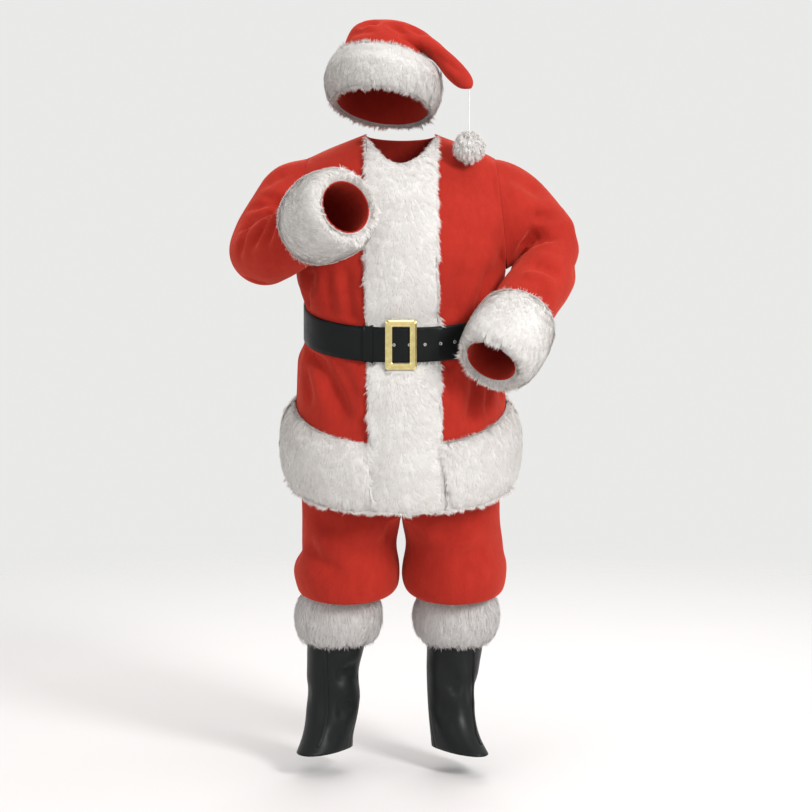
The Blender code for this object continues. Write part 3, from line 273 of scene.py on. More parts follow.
def cord_material():
    n = Nodes("white_cord")
    n.set(Roughness=0.8, Sheen_Weight=0.3)
    twist = n.add("ShaderNodeTexWave", wave_type="BANDS", bands_direction="DIAGONAL")
    n.link(n.place, twist.inputs["Vector"])
    n.fill(twist, Scale=260)
    n.colour(n.ramp(twist.outputs["Fac"], (0.2, (0.66, 0.65, 0.62)), (0.7, (0.86, 0.85, 0.83))))
    n.bump((twist.outputs["Fac"], 0.6, 0.0006))
    return n.material


# -------------------------------- meshes as arrays
SAME_PLACE = 1e-5   # corners nearer than this are one point
CORNER = 0.5        # two sharp edges that turn more than this, as a share of their length, keep their corner
ALWAYS = 99         # rounds for which a sharp edge that never softens stays sharp
RIM_FACE = 1.45     # a wall's rim has faces narrower than this many times the wall
RIM_TURN = math.cos(math.radians(50))       # faces that turn more than this meet in a sharp edge
RIM_STRAIGHT = 0.05     # a rim that turns more than this at a point, as a share of the piece, has a corner


def arrays_of(name):
    """Points and triangles of a CAD node, with split corners joined again."""
    bm = bmesh.new()
    bm.from_mesh(NODES[name].data)
    bmesh.ops.remove_doubles(bm, verts=bm.verts, dist=SAME_PLACE)
    bmesh.ops.triangulate(bm, faces=bm.faces)
    bm.verts.index_update()
    points = np.array([v.co for v in bm.verts], float)
    faces = np.array([[v.index for v in f.verts] for f in bm.faces])
    bm.free()
    return points, faces


def unit(v):
    return v / np.maximum(np.linalg.norm(v, axis=1, keepdims=True), 1e-15)


def face_normals(points, faces):
    """Each face's normal, with twice the face's area as its length."""
    return np.cross(points[faces[:, 1]] - points[faces[:, 0]], points[faces[:, 2]] - points[faces[:, 0]])


def point_normals(points, faces):
    normals, big = np.zeros_like(points), face_normals(points, faces)
    for k in range(3):
        np.add.at(normals, faces[:, k], big)
    return unit(normals)


def edges_of(faces):
    """Unique edges, each face's three edge numbers, and the corner opposite each face's edge."""
    pairs = np.sort(faces[:, [[0, 1], [1, 2], [2, 0]]].reshape(-1, 2), axis=1)
    edges, which = np.unique(pairs, axis=0, return_inverse=True)
    return edges, which.reshape(-1, 3), faces[:, [2, 0, 1]]


def loop(points, faces, sharp, rounds, tags=None):
    """Loop subdivision. sharp is a dict {(a, b): rounds that this edge stays sharp}."""
    tags = np.zeros(len(faces), int) if tags is None else tags
    for _ in range(rounds):
        count = len(points)
        edges, which, opposite = edges_of(faces)
        uses = np.bincount(which.ravel(), minlength=len(edges))
        far = np.zeros((len(edges), 3))
        np.add.at(far, which.ravel(), points[opposite.ravel()])
        hard = np.array([sharp.get((a, b), 0) for a, b in edges.tolist()])
        hard[uses != 2] = ALWAYS
        middle = (points[edges[:, 0]] + points[edges[:, 1]]) / 2
        smooth = hard == 0
        middle[smooth] = middle[smooth] * 0.75 + far[smooth] / 8
        valence, around = np.zeros(count), np.zeros((count, 3))
        lines, along, reach = np.zeros(count), np.zeros((count, 3)), np.zeros(count)
        creases = edges[~smooth]
        size = np.linalg.norm(points[creases[:, 0]] - points[creases[:, 1]], axis=1)
        for a, b in ((0, 1), (1, 0)):
            np.add.at(valence, edges[:, a], 1)
            np.add.at(around, edges[:, a], points[edges[:, b]])
            np.add.at(lines, creases[:, a], 1)
            np.add.at(along, creases[:, a], points[creases[:, b]])
            np.add.at(reach, creases[:, a], size)
        valence = np.maximum(valence, 1)
        beta = (5 / 8 - (3 / 8 + np.cos(2 * np.pi / valence) / 4) ** 2) / valence
        moved = points * (1 - valence * beta)[:, None] + around * beta[:, None]
        turn = np.linalg.norm(along - 2 * points, axis=1) / np.maximum(reach, 1e-12)
        line = (lines == 2) & (turn < CORNER)
        fixed = (lines >= 2) & ~line
        moved[line] = points[line] * 0.75 + along[line] / 8
        moved[fixed] = points[fixed]
        m = which + count
        a, b, c = faces.T
        faces = np.concatenate([
            np.stack([a, m[:, 0], m[:, 2]], 1), np.stack([b, m[:, 1], m[:, 0]], 1),
            np.stack([c, m[:, 2], m[:, 1]], 1), m])
        tags = np.tile(tags, 4)
        points = np.concatenate([moved, middle])
        left = {}
        for k in np.nonzero((hard > 1) & (uses == 2))[0]:
            for end in edges[k]:
                left[(int(end), int(k + count))] = int(hard[k]) - 1
        sharp = left
    return points, faces, tags


def owners_of(edges, which):
    """The faces that meet at each edge."""
    owners = [[] for _ in edges]
    for f, row in enumerate(which):
        for e in row:
            owners[e].append(f)
    return owners


def bent_edges(points, faces, limit):
    """Each edge between two faces whose normals' product is under the limit, and those two faces."""
    n = unit(face_normals(points, faces))
    edges, which, _ = edges_of(faces)
    for (a, b), owners in zip(edges.tolist(), owners_of(edges, which)):
        if len(owners) == 2 and n[owners[0]] @ n[owners[1]] < limit:
            yield (a, b), owners


def sharp_rims(points, faces, thickness):
    """The edges round a wall's rims: steep edges beside a face no wider than the wall."""
    sides = np.linalg.norm(points[faces] - points[np.roll(faces, -1, axis=1)], axis=2)
    thin = sides.min(1) < thickness * RIM_FACE
    return {edge: ALWAYS for edge, (f, g) in bent_edges(points, faces, RIM_TURN) if thin[f] or thin[g]}


def regions(faces, sharp):
    """A number for each face: faces joined across edges that aren't sharp share one."""
    edges, which, _ = edges_of(faces)
    owners = owners_of(edges, which)
    keep = [(a, b) not in sharp for a, b in edges.tolist()]
    label, count = np.full(len(faces), -1), 0
    for start in range(len(faces)):
        if label[start] >= 0:
            continue
        stack, label[start] = [start], count
        while stack:
            f = stack.pop()
            for e in which[f]:
                if keep[e]:
                    for g in owners[e]:
                        if label[g] < 0:
                            label[g] = count
                            stack.append(g)
        count += 1
    return label


OUTER, INNER, RIM = 0, 1, 2


def wall_sides(points, faces, sharp):
    """Tags each face of a closed wall as OUTER, INNER or RIM."""
    label = regions(faces, sharp)
    size = np.linalg.norm(face_normals(points, faces), axis=1) / 2
    areas = np.bincount(label, weights=size)
    big = np.argsort(-areas)[:2]
    tags = np.full(len(faces), RIM)
    tags[label == big[0]], tags[label == big[1]] = OUTER, INNER
    return tags


def object_of(name, points, faces, *materials, which=None):
    mesh = bpy.data.meshes.new(name)
    mesh.vertices.add(len(points))
    mesh.vertices.foreach_set("co", np.asarray(points, np.float32).ravel())
    mesh.loops.add(faces.size)
    mesh.loops.foreach_set("vertex_index", np.asarray(faces, np.int32).ravel())
    mesh.polygons.add(len(faces))
    mesh.polygons.foreach_set("loop_start", np.arange(0, faces.size, 3, dtype=np.int32))
    for m in materials:
        mesh.materials.append(m)
    if which is not None:
        mesh.polygons.foreach_set("material_index", np.asarray(which, np.int32))
    mesh.update(calc_edges=True)
    mesh.polygons.foreach_set("use_smooth", np.full(len(faces), True))
    piece = bpy.data.objects.new(name, mesh)
    SCENE.collection.objects.link(piece)
    return piece


VIEWS = {"front": (0, -1), "back": (0, 1), "left": (1, 0), "right": (-1, 0)}   # where the eye is: x, y


def seen_from(tree, view, across, up):
    """Where an eye's line meets a tree, and the normal there, or None twice.

    across is x, or y in a view from a side, and up is above the floor.
    """
    ex, ey = VIEWS[view]
    eye = (ex, across, up - HOLD_HEIGHT) if ex else (across, ey, up - HOLD_HEIGHT)
    return tree.ray_cast(Vector(eye), Vector((-ex, -ey, 0)))[:2]


STRIP_WIDTH, STRIP_HEIGHT, STRIP_STEPS = 0.009, 0.0018, 48
# a strip's section, as shares of its width and height
STRIP_SECTION = ((-0.5, -0.3), (-0.42, 0.8), (-0.2, 1.0), (0.2, 1.0), (0.42, 0.8), (0.5, -0.3))


def strip_on(name, piece, route, material):
    """A flat strip sewn on a piece along a route of (across, up) points in mm, dropped from the front."""
    mesh = piece.data
    tree = BVHTree.FromPolygons([v.co for v in mesh.vertices], [p.vertices[:] for p in mesh.polygons])
    route = np.array(route) / 1000
    at = np.linspace(0, len(route) - 1, STRIP_STEPS)
    across, up = (np.interp(at, np.arange(len(route)), route[:, k]) for k in (0, 1))
    for _ in range(3):
        across[1:-1] = (across[:-2] + 2 * across[1:-1] + across[2:]) / 4
    hits = [seen_from(tree, "front", a, u) for a, u in zip(across, up)]
    middle, out = (np.array([hit[k] for hit in hits if hit[0]]) for k in (0, 1))
    side = unit(np.cross(unit(np.gradient(middle, axis=0)), out))
    ring = [middle + side * STRIP_WIDTH * s + out * STRIP_HEIGHT * h for s, h in STRIP_SECTION]
    points = np.stack(ring, 1).reshape(-1, 3)
    count, last = len(ring), len(points) - len(ring)
    faces = []
    for row in range(0, last, count):
        for k in range(count):
            a, b = row + k, row + (k + 1) % count
            faces += [(a, b, b + count), (a, b + count, a + count)]
    for k in range(1, count - 1):
        faces += [(0, k + 1, k), (last, last + k, last + k + 1)]
    finish_piece(object_of(name, points, np.array(faces), material), name)


MADE = {}       # the pieces made here, each by the name of its node, or a strip's own name


def finish_piece(piece, name):
    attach(piece, "root")
    if name in NODES:
        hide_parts(name)
    MADE[name] = piece


ALL_TREES = {}


def tree_of(name):
    if name not in ALL_TREES:
        points, faces = arrays_of(name)
        ALL_TREES[name] = BVHTree.FromPolygons(points.tolist(), faces.tolist())
    return ALL_TREES[name]


# -------------------------------- folds
FOLD_SAMPLES, FEWEST_SAMPLES = 40, 4
FADE_IN, FADE_OUT = 0.28, 0.45      # shares of a fold's length
FOLD_REACH = 5.2        # widths from its line at which a fold has died away
SHOULDER, SHOULDER_AT, SHOULDER_WIDTH = 0.15, 2.1, 1.15     # beside a trough
DEEPEST = 0.026         # no fold goes deeper than this, where several meet
HELD_NEAR, HELD_FAR = 0.003, 0.016      # from what holds a fold down: no fold, and the whole fold
WAVES = 7


def ease(x):
    x = np.clip(x, 0, 1)
    return x * x * (3 - 2 * x)


def drop_line(piece, view, across_0, up_0, across_1, up_1, bow, width, depth, start):
    """A fold's line, drawn in one view and dropped on a piece: its points, normals and strengths.

    bow is how far the middle swings sideways, depth is below zero for a ridge, and start is how deep the
    fold still is at its first end: 1 where a seam or the belt holds it.
    """
    run = np.array([across_1 - across_0, up_1 - up_0])
    side = np.array([-run[1], run[0]]) / max(np.linalg.norm(run), 1e-9)
    line, facing, strength = [], [], []
    for s in np.linspace(0, 1, FOLD_SAMPLES):
        place, normal = seen_from(tree_of(piece), view,
                                  *(np.array([across_0, up_0]) + s * run + 4 * s * (1 - s) * bow * side))
        if place:
            line.append(place)
            facing.append(normal)
            strength.append(ease(start + s / FADE_IN) * ease((1 - s) / FADE_OUT))
    return np.array(line), np.array(facing), np.array(strength), width, depth


class Folds:
    """Soft troughs and ridges along lines, the same for every piece that they cross."""

    def __init__(self, table):
        lines = [drop_line(piece, view, *(mm / 1000 for mm in row), start)
                 for piece, view, *rows in table for *row, start in rows]
        self.lines = [line for line in lines if len(line[0]) > FEWEST_SAMPLES]

    def at(self, points, normals):
        """How far each point moves outward."""
        moved = np.zeros(len(points))
        for line, facing, strength, width, depth in self.lines:
            low, high = line.min(0) - FOLD_REACH * width, line.max(0) + FOLD_REACH * width
            inside = np.nonzero(((points > low) & (points < high)).all(1))[0]
            if not len(inside):
                continue
            gaps = np.linalg.norm(points[inside][:, None] - line[None], axis=2)
            best = gaps.argmin(1)
            d = gaps[np.arange(len(inside)), best] / width
            shape = np.exp(-d * d) - SHOULDER * np.exp(-((d - SHOULDER_AT) / SHOULDER_WIDTH) ** 2)
            # a fold leaves cloth alone that faces another way than its line
            alike = ease(((normals[inside] * facing[best]).sum(1) - 0.1) / 0.4)
            moved[inside] -= depth * strength[best] * shape * alike
        return DEEPEST * np.tanh(moved / DEEPEST)


def uneven(points, seed, spacing, height):
    """A gentle unevenness of cloth: a few waves that never line up."""
    rng = np.random.default_rng(seed)
    total = np.zeros(len(points))
    for _ in range(WAVES):
        way = rng.normal(size=3)
        way *= 2 * np.pi / (spacing * rng.uniform(0.7, 1.8) * np.linalg.norm(way))
        total += np.sin(points @ way + rng.uniform(0, 6.28)) / WAVES
    return total * height


def nearest(points, targets):
    tree = KDTree(len(targets))
    for i, p in enumerate(targets):
        tree.insert(p, i)
    tree.balance()
    return np.array([tree.find(p)[1] for p in points])


def side_normals(points, faces, tags):
    """The wall's outward direction at each point, and which points lie on its outside."""
    normals = np.zeros_like(points)
    big = face_normals(points, faces)
    for tag, sign in ((OUTER, 1), (INNER, -1)):
        for k in range(3):
            np.add.at(normals, faces[tags == tag][:, k], sign * big[tags == tag])
    length = np.linalg.norm(normals, axis=1, keepdims=True)
    known = length[:, 0] > 1e-12
    normals[known] /= length[known]
    if not known.all():
        normals[~known] = normals[known][nearest(points[~known], points[known])]
    return normals


def beside(names, points, far):
    """From each point to the nearest of these pieces: the gap, or far, the way and the normal there."""
    gap = np.full(len(points), far)
    way, facing = np.zeros((2, len(points), 3))
    for name in names:
        tree = tree_of(name)
        for i, p in enumerate(points):
            place, normal, _, distance = tree.find_nearest(Vector(p), gap[i])
            if place:
                gap[i], way[i], facing[i] = distance, place - Vector(p), normal
    return gap, way, facing


def clear_of(names, points):
    """0 at points that lie on one of these pieces, rising to 1 away from them."""
    return ease((beside(names, points, HELD_FAR)[0] - HELD_NEAR) / (HELD_FAR - HELD_NEAR))


def with_swells(move, points, name, share=1):
    """The moves of a piece's points with its swells added, or a share of them."""
    for swell in SWELLS.get(name, ()):
        x, y, up, radius, height = (mm / 1000 for mm in swell)
        gap = np.linalg.norm(points - (x, y, up - HOLD_HEIGHT), axis=1)
        move = move + height * np.exp(-(gap / radius) ** 2) * share
    return move


def fine_outside(points, faces, tags):
    """One more Loop round on the outer faces. The faces beside them are split, so the wall stays closed."""
    used, outer = np.unique(faces[tags == OUTER], return_inverse=True)
    outer = outer.reshape(-1, 3)
    fine_points, fine_faces, _ = loop(points[used], outer, {}, 1)
    middle = {tuple(used[e].tolist()): len(used) + k for k, e in enumerate(edges_of(outer)[0])}
    rest = faces[tags != OUTER]
    kept = np.setdiff1d(rest, used)
    number = np.zeros(len(points), int)
    number[used], number[kept] = np.arange(len(used)), len(fine_points) + np.arange(len(kept))
    split = []
    for corners in rest.tolist():
        ring, halves = [], []
        for k in range(3):
            edge = tuple(sorted((corners[k], corners[(k + 1) % 3])))
            ring.append(int(number[corners[k]]))
            if edge in middle:
                halves.append(len(ring))
                ring.append(middle[edge])
        # the fan starts at the first new point, or at the corner across from the only one
        start = (halves[0] + 2) % 4 if len(halves) == 1 else halves[0] if halves else 0
        ring = ring[start:] + ring[:start]
        split += [(ring[0], ring[k], ring[k + 1]) for k in range(1, len(ring) - 1)]
    return fine_points, kept, np.concatenate([fine_faces, np.array(split)])


def hold_rims(points, sharp):
    """Moves a rim's points out a little, so that the smoothed rim runs through the solid's own points."""
    ends, count = np.zeros_like(points), np.zeros(len(points))
    for a, b in sharp:
        ends[a] += points[b]
        ends[b] += points[a]
        count[[a, b]] += 1
    turn = np.linalg.norm(ends - 2 * points, axis=1)
    size = np.linalg.norm(np.ptp(points, axis=0))
    held = (count == 2) & (turn < RIM_STRAIGHT * size)
    return np.where(held[:, None], points - (ends - 2 * points) / 6, points)


SEAM_NEAR = 0.0012          # an edge nearer than this to a piece is sewn to it
SEAM_UNDER, SEAM_SINK = 0.005, 0.0010       # how far a sewn edge runs on under it, and how much it sinks


def tuck(points, faces, tags, names):
    """Runs the edge along a seam on under the pieces that it is sewn to, as a seam's allowance does."""
    sewn = beside(names, points, SEAM_NEAR)[0] < SEAM_NEAR
    normals = side_normals(points, faces, tags)
    edges = edges_of(faces)[0]
    moved = points.copy()
    for i in np.nonzero(sewn)[0]:
        inward = np.concatenate([edges[edges[:, 0] == i][:, 1], edges[edges[:, 1] == i][:, 0]])
        inward = inward[~sewn[inward]]
        if len(inward):
            way = points[i] - points[inward].mean(0)
            moved[i] += way / np.linalg.norm(way) * SEAM_UNDER - normals[i] * SEAM_SINK
    return moved


WAVY_SEED, WAVY_SPACING = 5, 0.22


def shell(name, material, thickness, folds=None, wavy=0.0, under=(), sewn_under=(), rounds=2):
    """A cloth piece on its solid's form. under names what lies on it, which holds its folds down, and
    sewn_under what its edge runs on under.
    """
    points, faces = arrays_of(name)
    sharp = sharp_rims(points, faces, thickness)
    tags = wall_sides(points, faces, sharp)
    points = hold_rims(tuck(points, faces, tags, sewn_under), sharp)
    points, faces, tags = loop(points, faces, sharp, rounds, tags)
    normals = side_normals(points, faces, tags)
    outside, kept, all_faces = fine_outside(points, faces, tags)
    outer = (all_faces < len(outside)).all(1)
    all_points = np.concatenate([outside, points[kept]])
    all_normals = np.concatenate([point_normals(outside, all_faces[outer]), normals[kept]])
    move = uneven(all_points, WAVY_SEED, WAVY_SPACING, wavy)
    if folds:
        move += folds.at(all_points, all_normals)
    if under:
        move *= clear_of(under, all_points)
    move = with_swells(move, all_points, name)
    all_points = all_points + all_normals * move[:, None]
    finish_piece(object_of(name + "_cloth", all_points, all_faces, material), name)


# -------------------------------- fur
HAIR_FACES = np.array([(0, 1, 2), (0, 2, 3)])
HAIR_POINTS = 4
HAIR_BEND, HAIR_CURL = 0.5, 0.08     # where along a hair its third corner stands, and how far out
HAIR_WIDTH, LEAN = 0.0010, 0.75      # LEAN is how much of a hair's length lies along the surface
SINK = 0.0020           # how far the backing lies under the pile's tips
CRISP = 0.42            # a fur solid's faces whose normals' product is lower meet in a crisp edge
ROOM_FAR, ROOM_STEP = 0.06, 0.002       # how far a face looks for room, and where it starts off itself
OPEN_FROM, OPEN_OVER = 0.006, 0.012     # the room at which pile starts, and how much more makes it whole
CLOTH_FAR, FRIEND_FAR = 0.014, 0.030    # how far off cloth and other fur are looked for
MORE_BY_CLOTH, MORE_BY_FUR = 1.3, 2.0   # how much denser the pile is beside them
FRIEND_REACH = 0.015    # how near a seam between two fur pieces the pile starts to run over it
SEAM_LIFT = 0.0035      # how much higher the pile stands there
LUMP_SPACING, FEWEST_CLUMPS = 0.075, 20


def hairs(rng, root, tip, width, shade):
    """Tapered slivers from root to tip, curved sideways. Returns points, faces and normals."""
    count = len(root)
    reach = np.linalg.norm(tip - root, axis=1, keepdims=True)
    side = unit(np.cross(tip - root, shade) + 1e-9)
    side *= rng.choice([-1.0, 1.0], (count, 1))
    half = side * (width / 2)[:, None]
    middle = root * (1 - HAIR_BEND) + tip * HAIR_BEND + side * reach * rng.uniform(0, HAIR_CURL, (count, 1))
    points = np.stack([root - half, root + half, middle + half, tip], 1).reshape(-1, 3)
    faces = HAIR_FACES[None] + HAIR_POINTS * np.arange(count)[:, None, None]
    p = points.reshape(count, HAIR_POINTS, 3)
    turned = (np.cross(p[:, 1] - p[:, 0], p[:, 2] - p[:, 0]) * shade).sum(1) < 0
    faces[turned] = faces[turned][:, :, ::-1]
    look = unit(shade + rng.normal(0, 0.05, (count, 3)))
    return points, faces.reshape(-1, 3), np.repeat(look, HAIR_POINTS, axis=0)


def level(v, up):
    """The part of each v that lies along the surface."""
    return v - up * (v * up).sum(1, keepdims=True)


def free_room(points, normals, own, others):
    """How far each point can look along its normal before it meets a piece."""
    room = np.full(len(points), ROOM_FAR)
    for i, (p, n) in enumerate(zip(points, normals)):
        p, n = Vector(p), Vector(n)
        for tree, step in [(own, ROOM_STEP)] + [(t, 0.0) for t in others]:
            hit = tree.ray_cast(p + n * step, n, room[i])
            if hit[0] is not None:
                room[i] = min(room[i], hit[3] + step)
    return room


def skin_of(name, rounds):
    """A fur solid's smoothed surface, with its edge against the cloth kept crisp."""
    points, faces = arrays_of(name)
    sharp = {edge: ALWAYS for edge, _ in bent_edges(points, faces, CRISP)}
    return loop(points, faces, sharp, rounds)[:2]


def cut_short(root, tip, which, names):
    """The tips, drawn back where a hair would run into one of these pieces."""
    tip = tip.copy()
    trees = [tree_of(name) for name in names]
    for i in which:
        way = Vector(tip[i] - root[i])
        reach = way.length
        for tree in trees:
            hit = tree.ray_cast(Vector(root[i]), way, reach)
            if hit[0] is not None:
                reach = min(reach, 0.9 * hit[3])
        tip[i] = root[i] + (tip[i] - root[i]) * (reach / way.length)
    return tip


def near(gap, reach, end):
    """1 where the gap is small, falling to 0 where it is end times the reach."""
    return ease(end - gap / reach)


def fur(name, count, seed, lay, length=0.022, neighbours=(), friends=(), clump=0.014, proud=0.0026,
        fringe=0.008, lumps=0.0022, flare=0.35, swollen=0.0, rounds=2, looks=None):
    """A fur piece: backing and pile. lay is the way the pile falls, or a function of the points.

    neighbours are what it lies on or beside, and friends the fur pieces that its pile runs on over.
    proud is how far single hairs stand out, fringe how far they do beside cloth, clump a tuft's width,
    lumps how uneven the pile is, swollen how much fuller, and flare how far it fans out.
    """
    rng, looks = np.random.default_rng(seed), looks or FUR
    points, faces = skin_of(name, rounds)
    normals = point_normals(points, faces)
    # where the skin stands over another fur piece beside it, it comes down to that one's level
    seam_gap, seam_way, _ = beside(friends, points, FRIEND_FAR)
    step = np.minimum((unit(seam_way) * normals).sum(1), 0) * seam_gap
    points = points + normals * (step * near(seam_gap, 0.022, 1.3))[:, None]
    own = BVHTree.FromPolygons(points.tolist(), faces.tolist())
    around = [tree_of(o) for o in (*neighbours, *friends)]
    centres = points[faces].mean(1)
    room = free_room(centres, unit(face_normals(points, faces)), own, around)
    open_face = np.clip((room - OPEN_FROM) / OPEN_OVER, 0, 1)
    weight = np.linalg.norm(face_normals(points, faces), axis=1) / 2 * open_face
    area = weight.sum()
    by_cloth, by_fur = beside(neighbours, centres, CLOTH_FAR)[0], beside(friends, centres, FRIEND_FAR)[0]
    weight *= 1 + MORE_BY_CLOTH * near(by_cloth, 0.009, 1.2) + MORE_BY_FUR * near(by_fur, 0.010, 1.3)
    # backing: the open skin sinks under the tips, the rest stays where it is
    open_point, seen = np.zeros(len(points)), np.zeros(len(points))
    for k in range(3):
        np.add.at(open_point, faces[:, k], open_face)
        np.add.at(seen, faces[:, k], 1)
    open_point /= np.maximum(seen, 1)
    # how thick the piece is under each point
    deep = np.array([own.ray_cast(Vector(p - m * 0.0008), Vector(-m), 0.1)[3] or 0.004
                     for p, m in zip(points, normals)])
    swell = (uneven(points, 40 + seed, LUMP_SPACING, lumps) + swollen) * open_point
    swell = with_swells(swell, points, name, open_point)
    sink = np.minimum(SINK * (1 + uneven(points, seed, 0.03, 0.5)), deep * 0.45) * open_point - swell
    sunk = points - normals * sink[:, None]
    # pile: a place for each hair, and the skin there
    pick = rng.choice(len(faces), count, p=weight / weight.sum())
    u, v = rng.random(count), rng.random(count)
    beyond = u + v > 1
    u[beyond], v[beyond] = 1 - u[beyond], 1 - v[beyond]
    mix = np.stack([1 - u - v, u, v], 1)[:, :, None]
    corners = faces[pick]
    at = (points[corners] * mix).sum(1)
    up = unit((normals[corners] * mix).sum(1))
    below = (sink[corners] * mix[:, :, 0]).sum(1)
    high = (swell[corners] * mix[:, :, 0]).sum(1)
    gap, _, facing = beside(neighbours, at, CLOTH_FAR)
    steep = 1 - np.abs((up * facing).sum(1))
    edge = near(gap, 0.011, 1.25) * ease(steep * 1.6 - 0.3)
    # the way it falls
    ways = lay(at) if callable(lay) else np.tile(np.array(lay, float), (count, 1))
    slack = 1 - np.linalg.norm(level(ways, up), axis=1, keepdims=True)
    fall = unit(level(ways + unit(at - at.mean(0)) * flare * slack, up))
    over_gap, over_way, _ = beside(friends, at, FRIEND_FAR)
    over = near(over_gap, FRIEND_REACH, 1.2)
    fall += level(unit(over_way), up) * (rng.uniform(0.2, 2.2, count) * over)[:, None]
    # tufts: hairs of one tuft spread alike and are drawn towards one tip
    clumps = rng.choice(count, max(FEWEST_CLUMPS, int(area / clump ** 2)), replace=False)
    group = nearest(at, at[clumps])
    spread = level(rng.normal(0, 0.22, (len(clumps), 3)), up[clumps])
    long = rng.uniform(0.8, 1.1, len(clumps))
    root = at - up * (below + 0.0005)[:, None]
    stretch = length * long[group] * rng.uniform(0.7, 1.1, count) * (1 - 0.6 * edge)
    drop = high + rng.uniform(-0.0008, 0.0004, count) + proud * np.maximum(rng.normal(-1.5, 0.9, count), 0)
    drop += SEAM_LIFT * over
    drop += fringe * edge * rng.uniform(0.2, 1.0, count)
    own_fall = fall + level(rng.normal(0, 0.18, (count, 3)), up) + facing * (0.3 * edge)[:, None]
    tip = at + up * drop[:, None] + (own_fall + spread[group]) * (stretch * LEAN)[:, None]
    heart = at[clumps] + (fall[clumps] + spread) * (length * long * LEAN)[:, None]
    pull = rng.uniform(0.0, 0.35, (count, 1)) * (1 - edge[:, None])
    tip = tip * (1 - pull) + (heart[group] + up * drop[:, None]) * pull
    tip = cut_short(root, tip, np.nonzero(gap < CLOTH_FAR)[0], neighbours)
    shade = unit(up + facing * (1.2 * edge)[:, None])
    hair_points, hair_faces, look = hairs(rng, root, tip, HAIR_WIDTH * rng.uniform(0.6, 1.3, count), shade)
    all_points = np.concatenate([sunk, hair_points])
    all_faces = np.concatenate([faces, hair_faces + len(sunk)])
    which_material = np.concatenate([np.ones(len(faces)), np.zeros(len(hair_faces))])
    piece = object_of(name + "_pile", all_points, all_faces, *looks, which=which_material)
    piece.data.normals_split_custom_set_from_vertices(
        np.concatenate([point_normals(sunk, faces), look]).tolist())
    finish_piece(piece, name)


# -------------------------------- what the suit is dressed with
PLUSH = plush_material()
FUR = (fur_material("white_fur", (0.805, 0.78, 0.755), (0.855, 0.84, 0.825)),
       # this backing's grey is painted shade under the pile
       backing_material("fur_backing_painted_shade", (0.53, 0.51, 0.49), (0.61, 0.595, 0.58)))
# the boot fur is a darker copy of the white fur: painted shade, for the shade that the lower legs stand in;
# its backing is darker still, painted shade under the pile
SHADED_BOOT_FUR = (fur_material("shaded_boot_fur", (0.665, 0.64, 0.625), (0.725, 0.71, 0.70)),
            backing_material("boot_fur_backing", (0.44, 0.425, 0.415), (0.51, 0.495, 0.485)))
# the brim fur is a greyer copy of the white fur: painted shade on the hat's brim; its backing is darker,
# painted shade under the pile
SHADED_BRIM_FUR = (fur_material("shaded_brim_fur", (0.72, 0.695, 0.67), (0.775, 0.76, 0.745)),
            backing_material("brim_fur_backing", (0.48, 0.465, 0.45), (0.56, 0.545, 0.53)))
BELT = vinyl_material("belt_vinyl_soft", 0.38, 900, 0.2, 0.13)
BOOT = vinyl_material("boot_vinyl_glossy", 0.42, 700, 0.35, 0.21)
GOLD = metal_material("buckle_gold", (0.70, 0.56, 0.22), (0.82, 0.70, 0.34), 0.16)
NICKEL = metal_material("eyelet_nickel", (0.62, 0.60, 0.56), (0.80, 0.78, 0.74), 0.18)
CORD = cord_material()

FRONT_RIGHT, FRONT_LEFT, BACK = "jacket_front_right", "jacket_front_left", "jacket_back"
SLEEVE_RIGHT, SLEEVE_LEFT = "sleeve_right", "sleeve_left"
LEG_RIGHT, LEG_LEFT = "trouser_leg_right", "trouser_leg_left"
BOOT_RIGHT, BOOT_LEFT = "boot_front_right", "boot_front_left"
CROWN = "hat_crown"
FUR_HEM = ("fur_hem_left", "fur_hem_right", "fur_hem_back")
EYELETS = tuple(f"eyelet_{k}" for k in range(1, 6))
ON_JACKET = ("belt_strap", "belt_keeper", "fur_placket", *FUR_HEM)
JACKET = (
    # piece, what lies on it and holds its folds down, what its edge runs on under
    (FRONT_LEFT, (*ON_JACKET, SLEEVE_LEFT), (BACK,)),
    (FRONT_RIGHT, (*ON_JACKET, SLEEVE_RIGHT), (BACK,)),
    (BACK, (*ON_JACKET, SLEEVE_LEFT, SLEEVE_RIGHT), ()),
    (SLEEVE_LEFT, ("fur_cuff_left", FRONT_LEFT, BACK), (FRONT_LEFT, BACK)),
    (SLEEVE_RIGHT, ("fur_cuff_right", FRONT_RIGHT, BACK), (FRONT_RIGHT, BACK)),
)
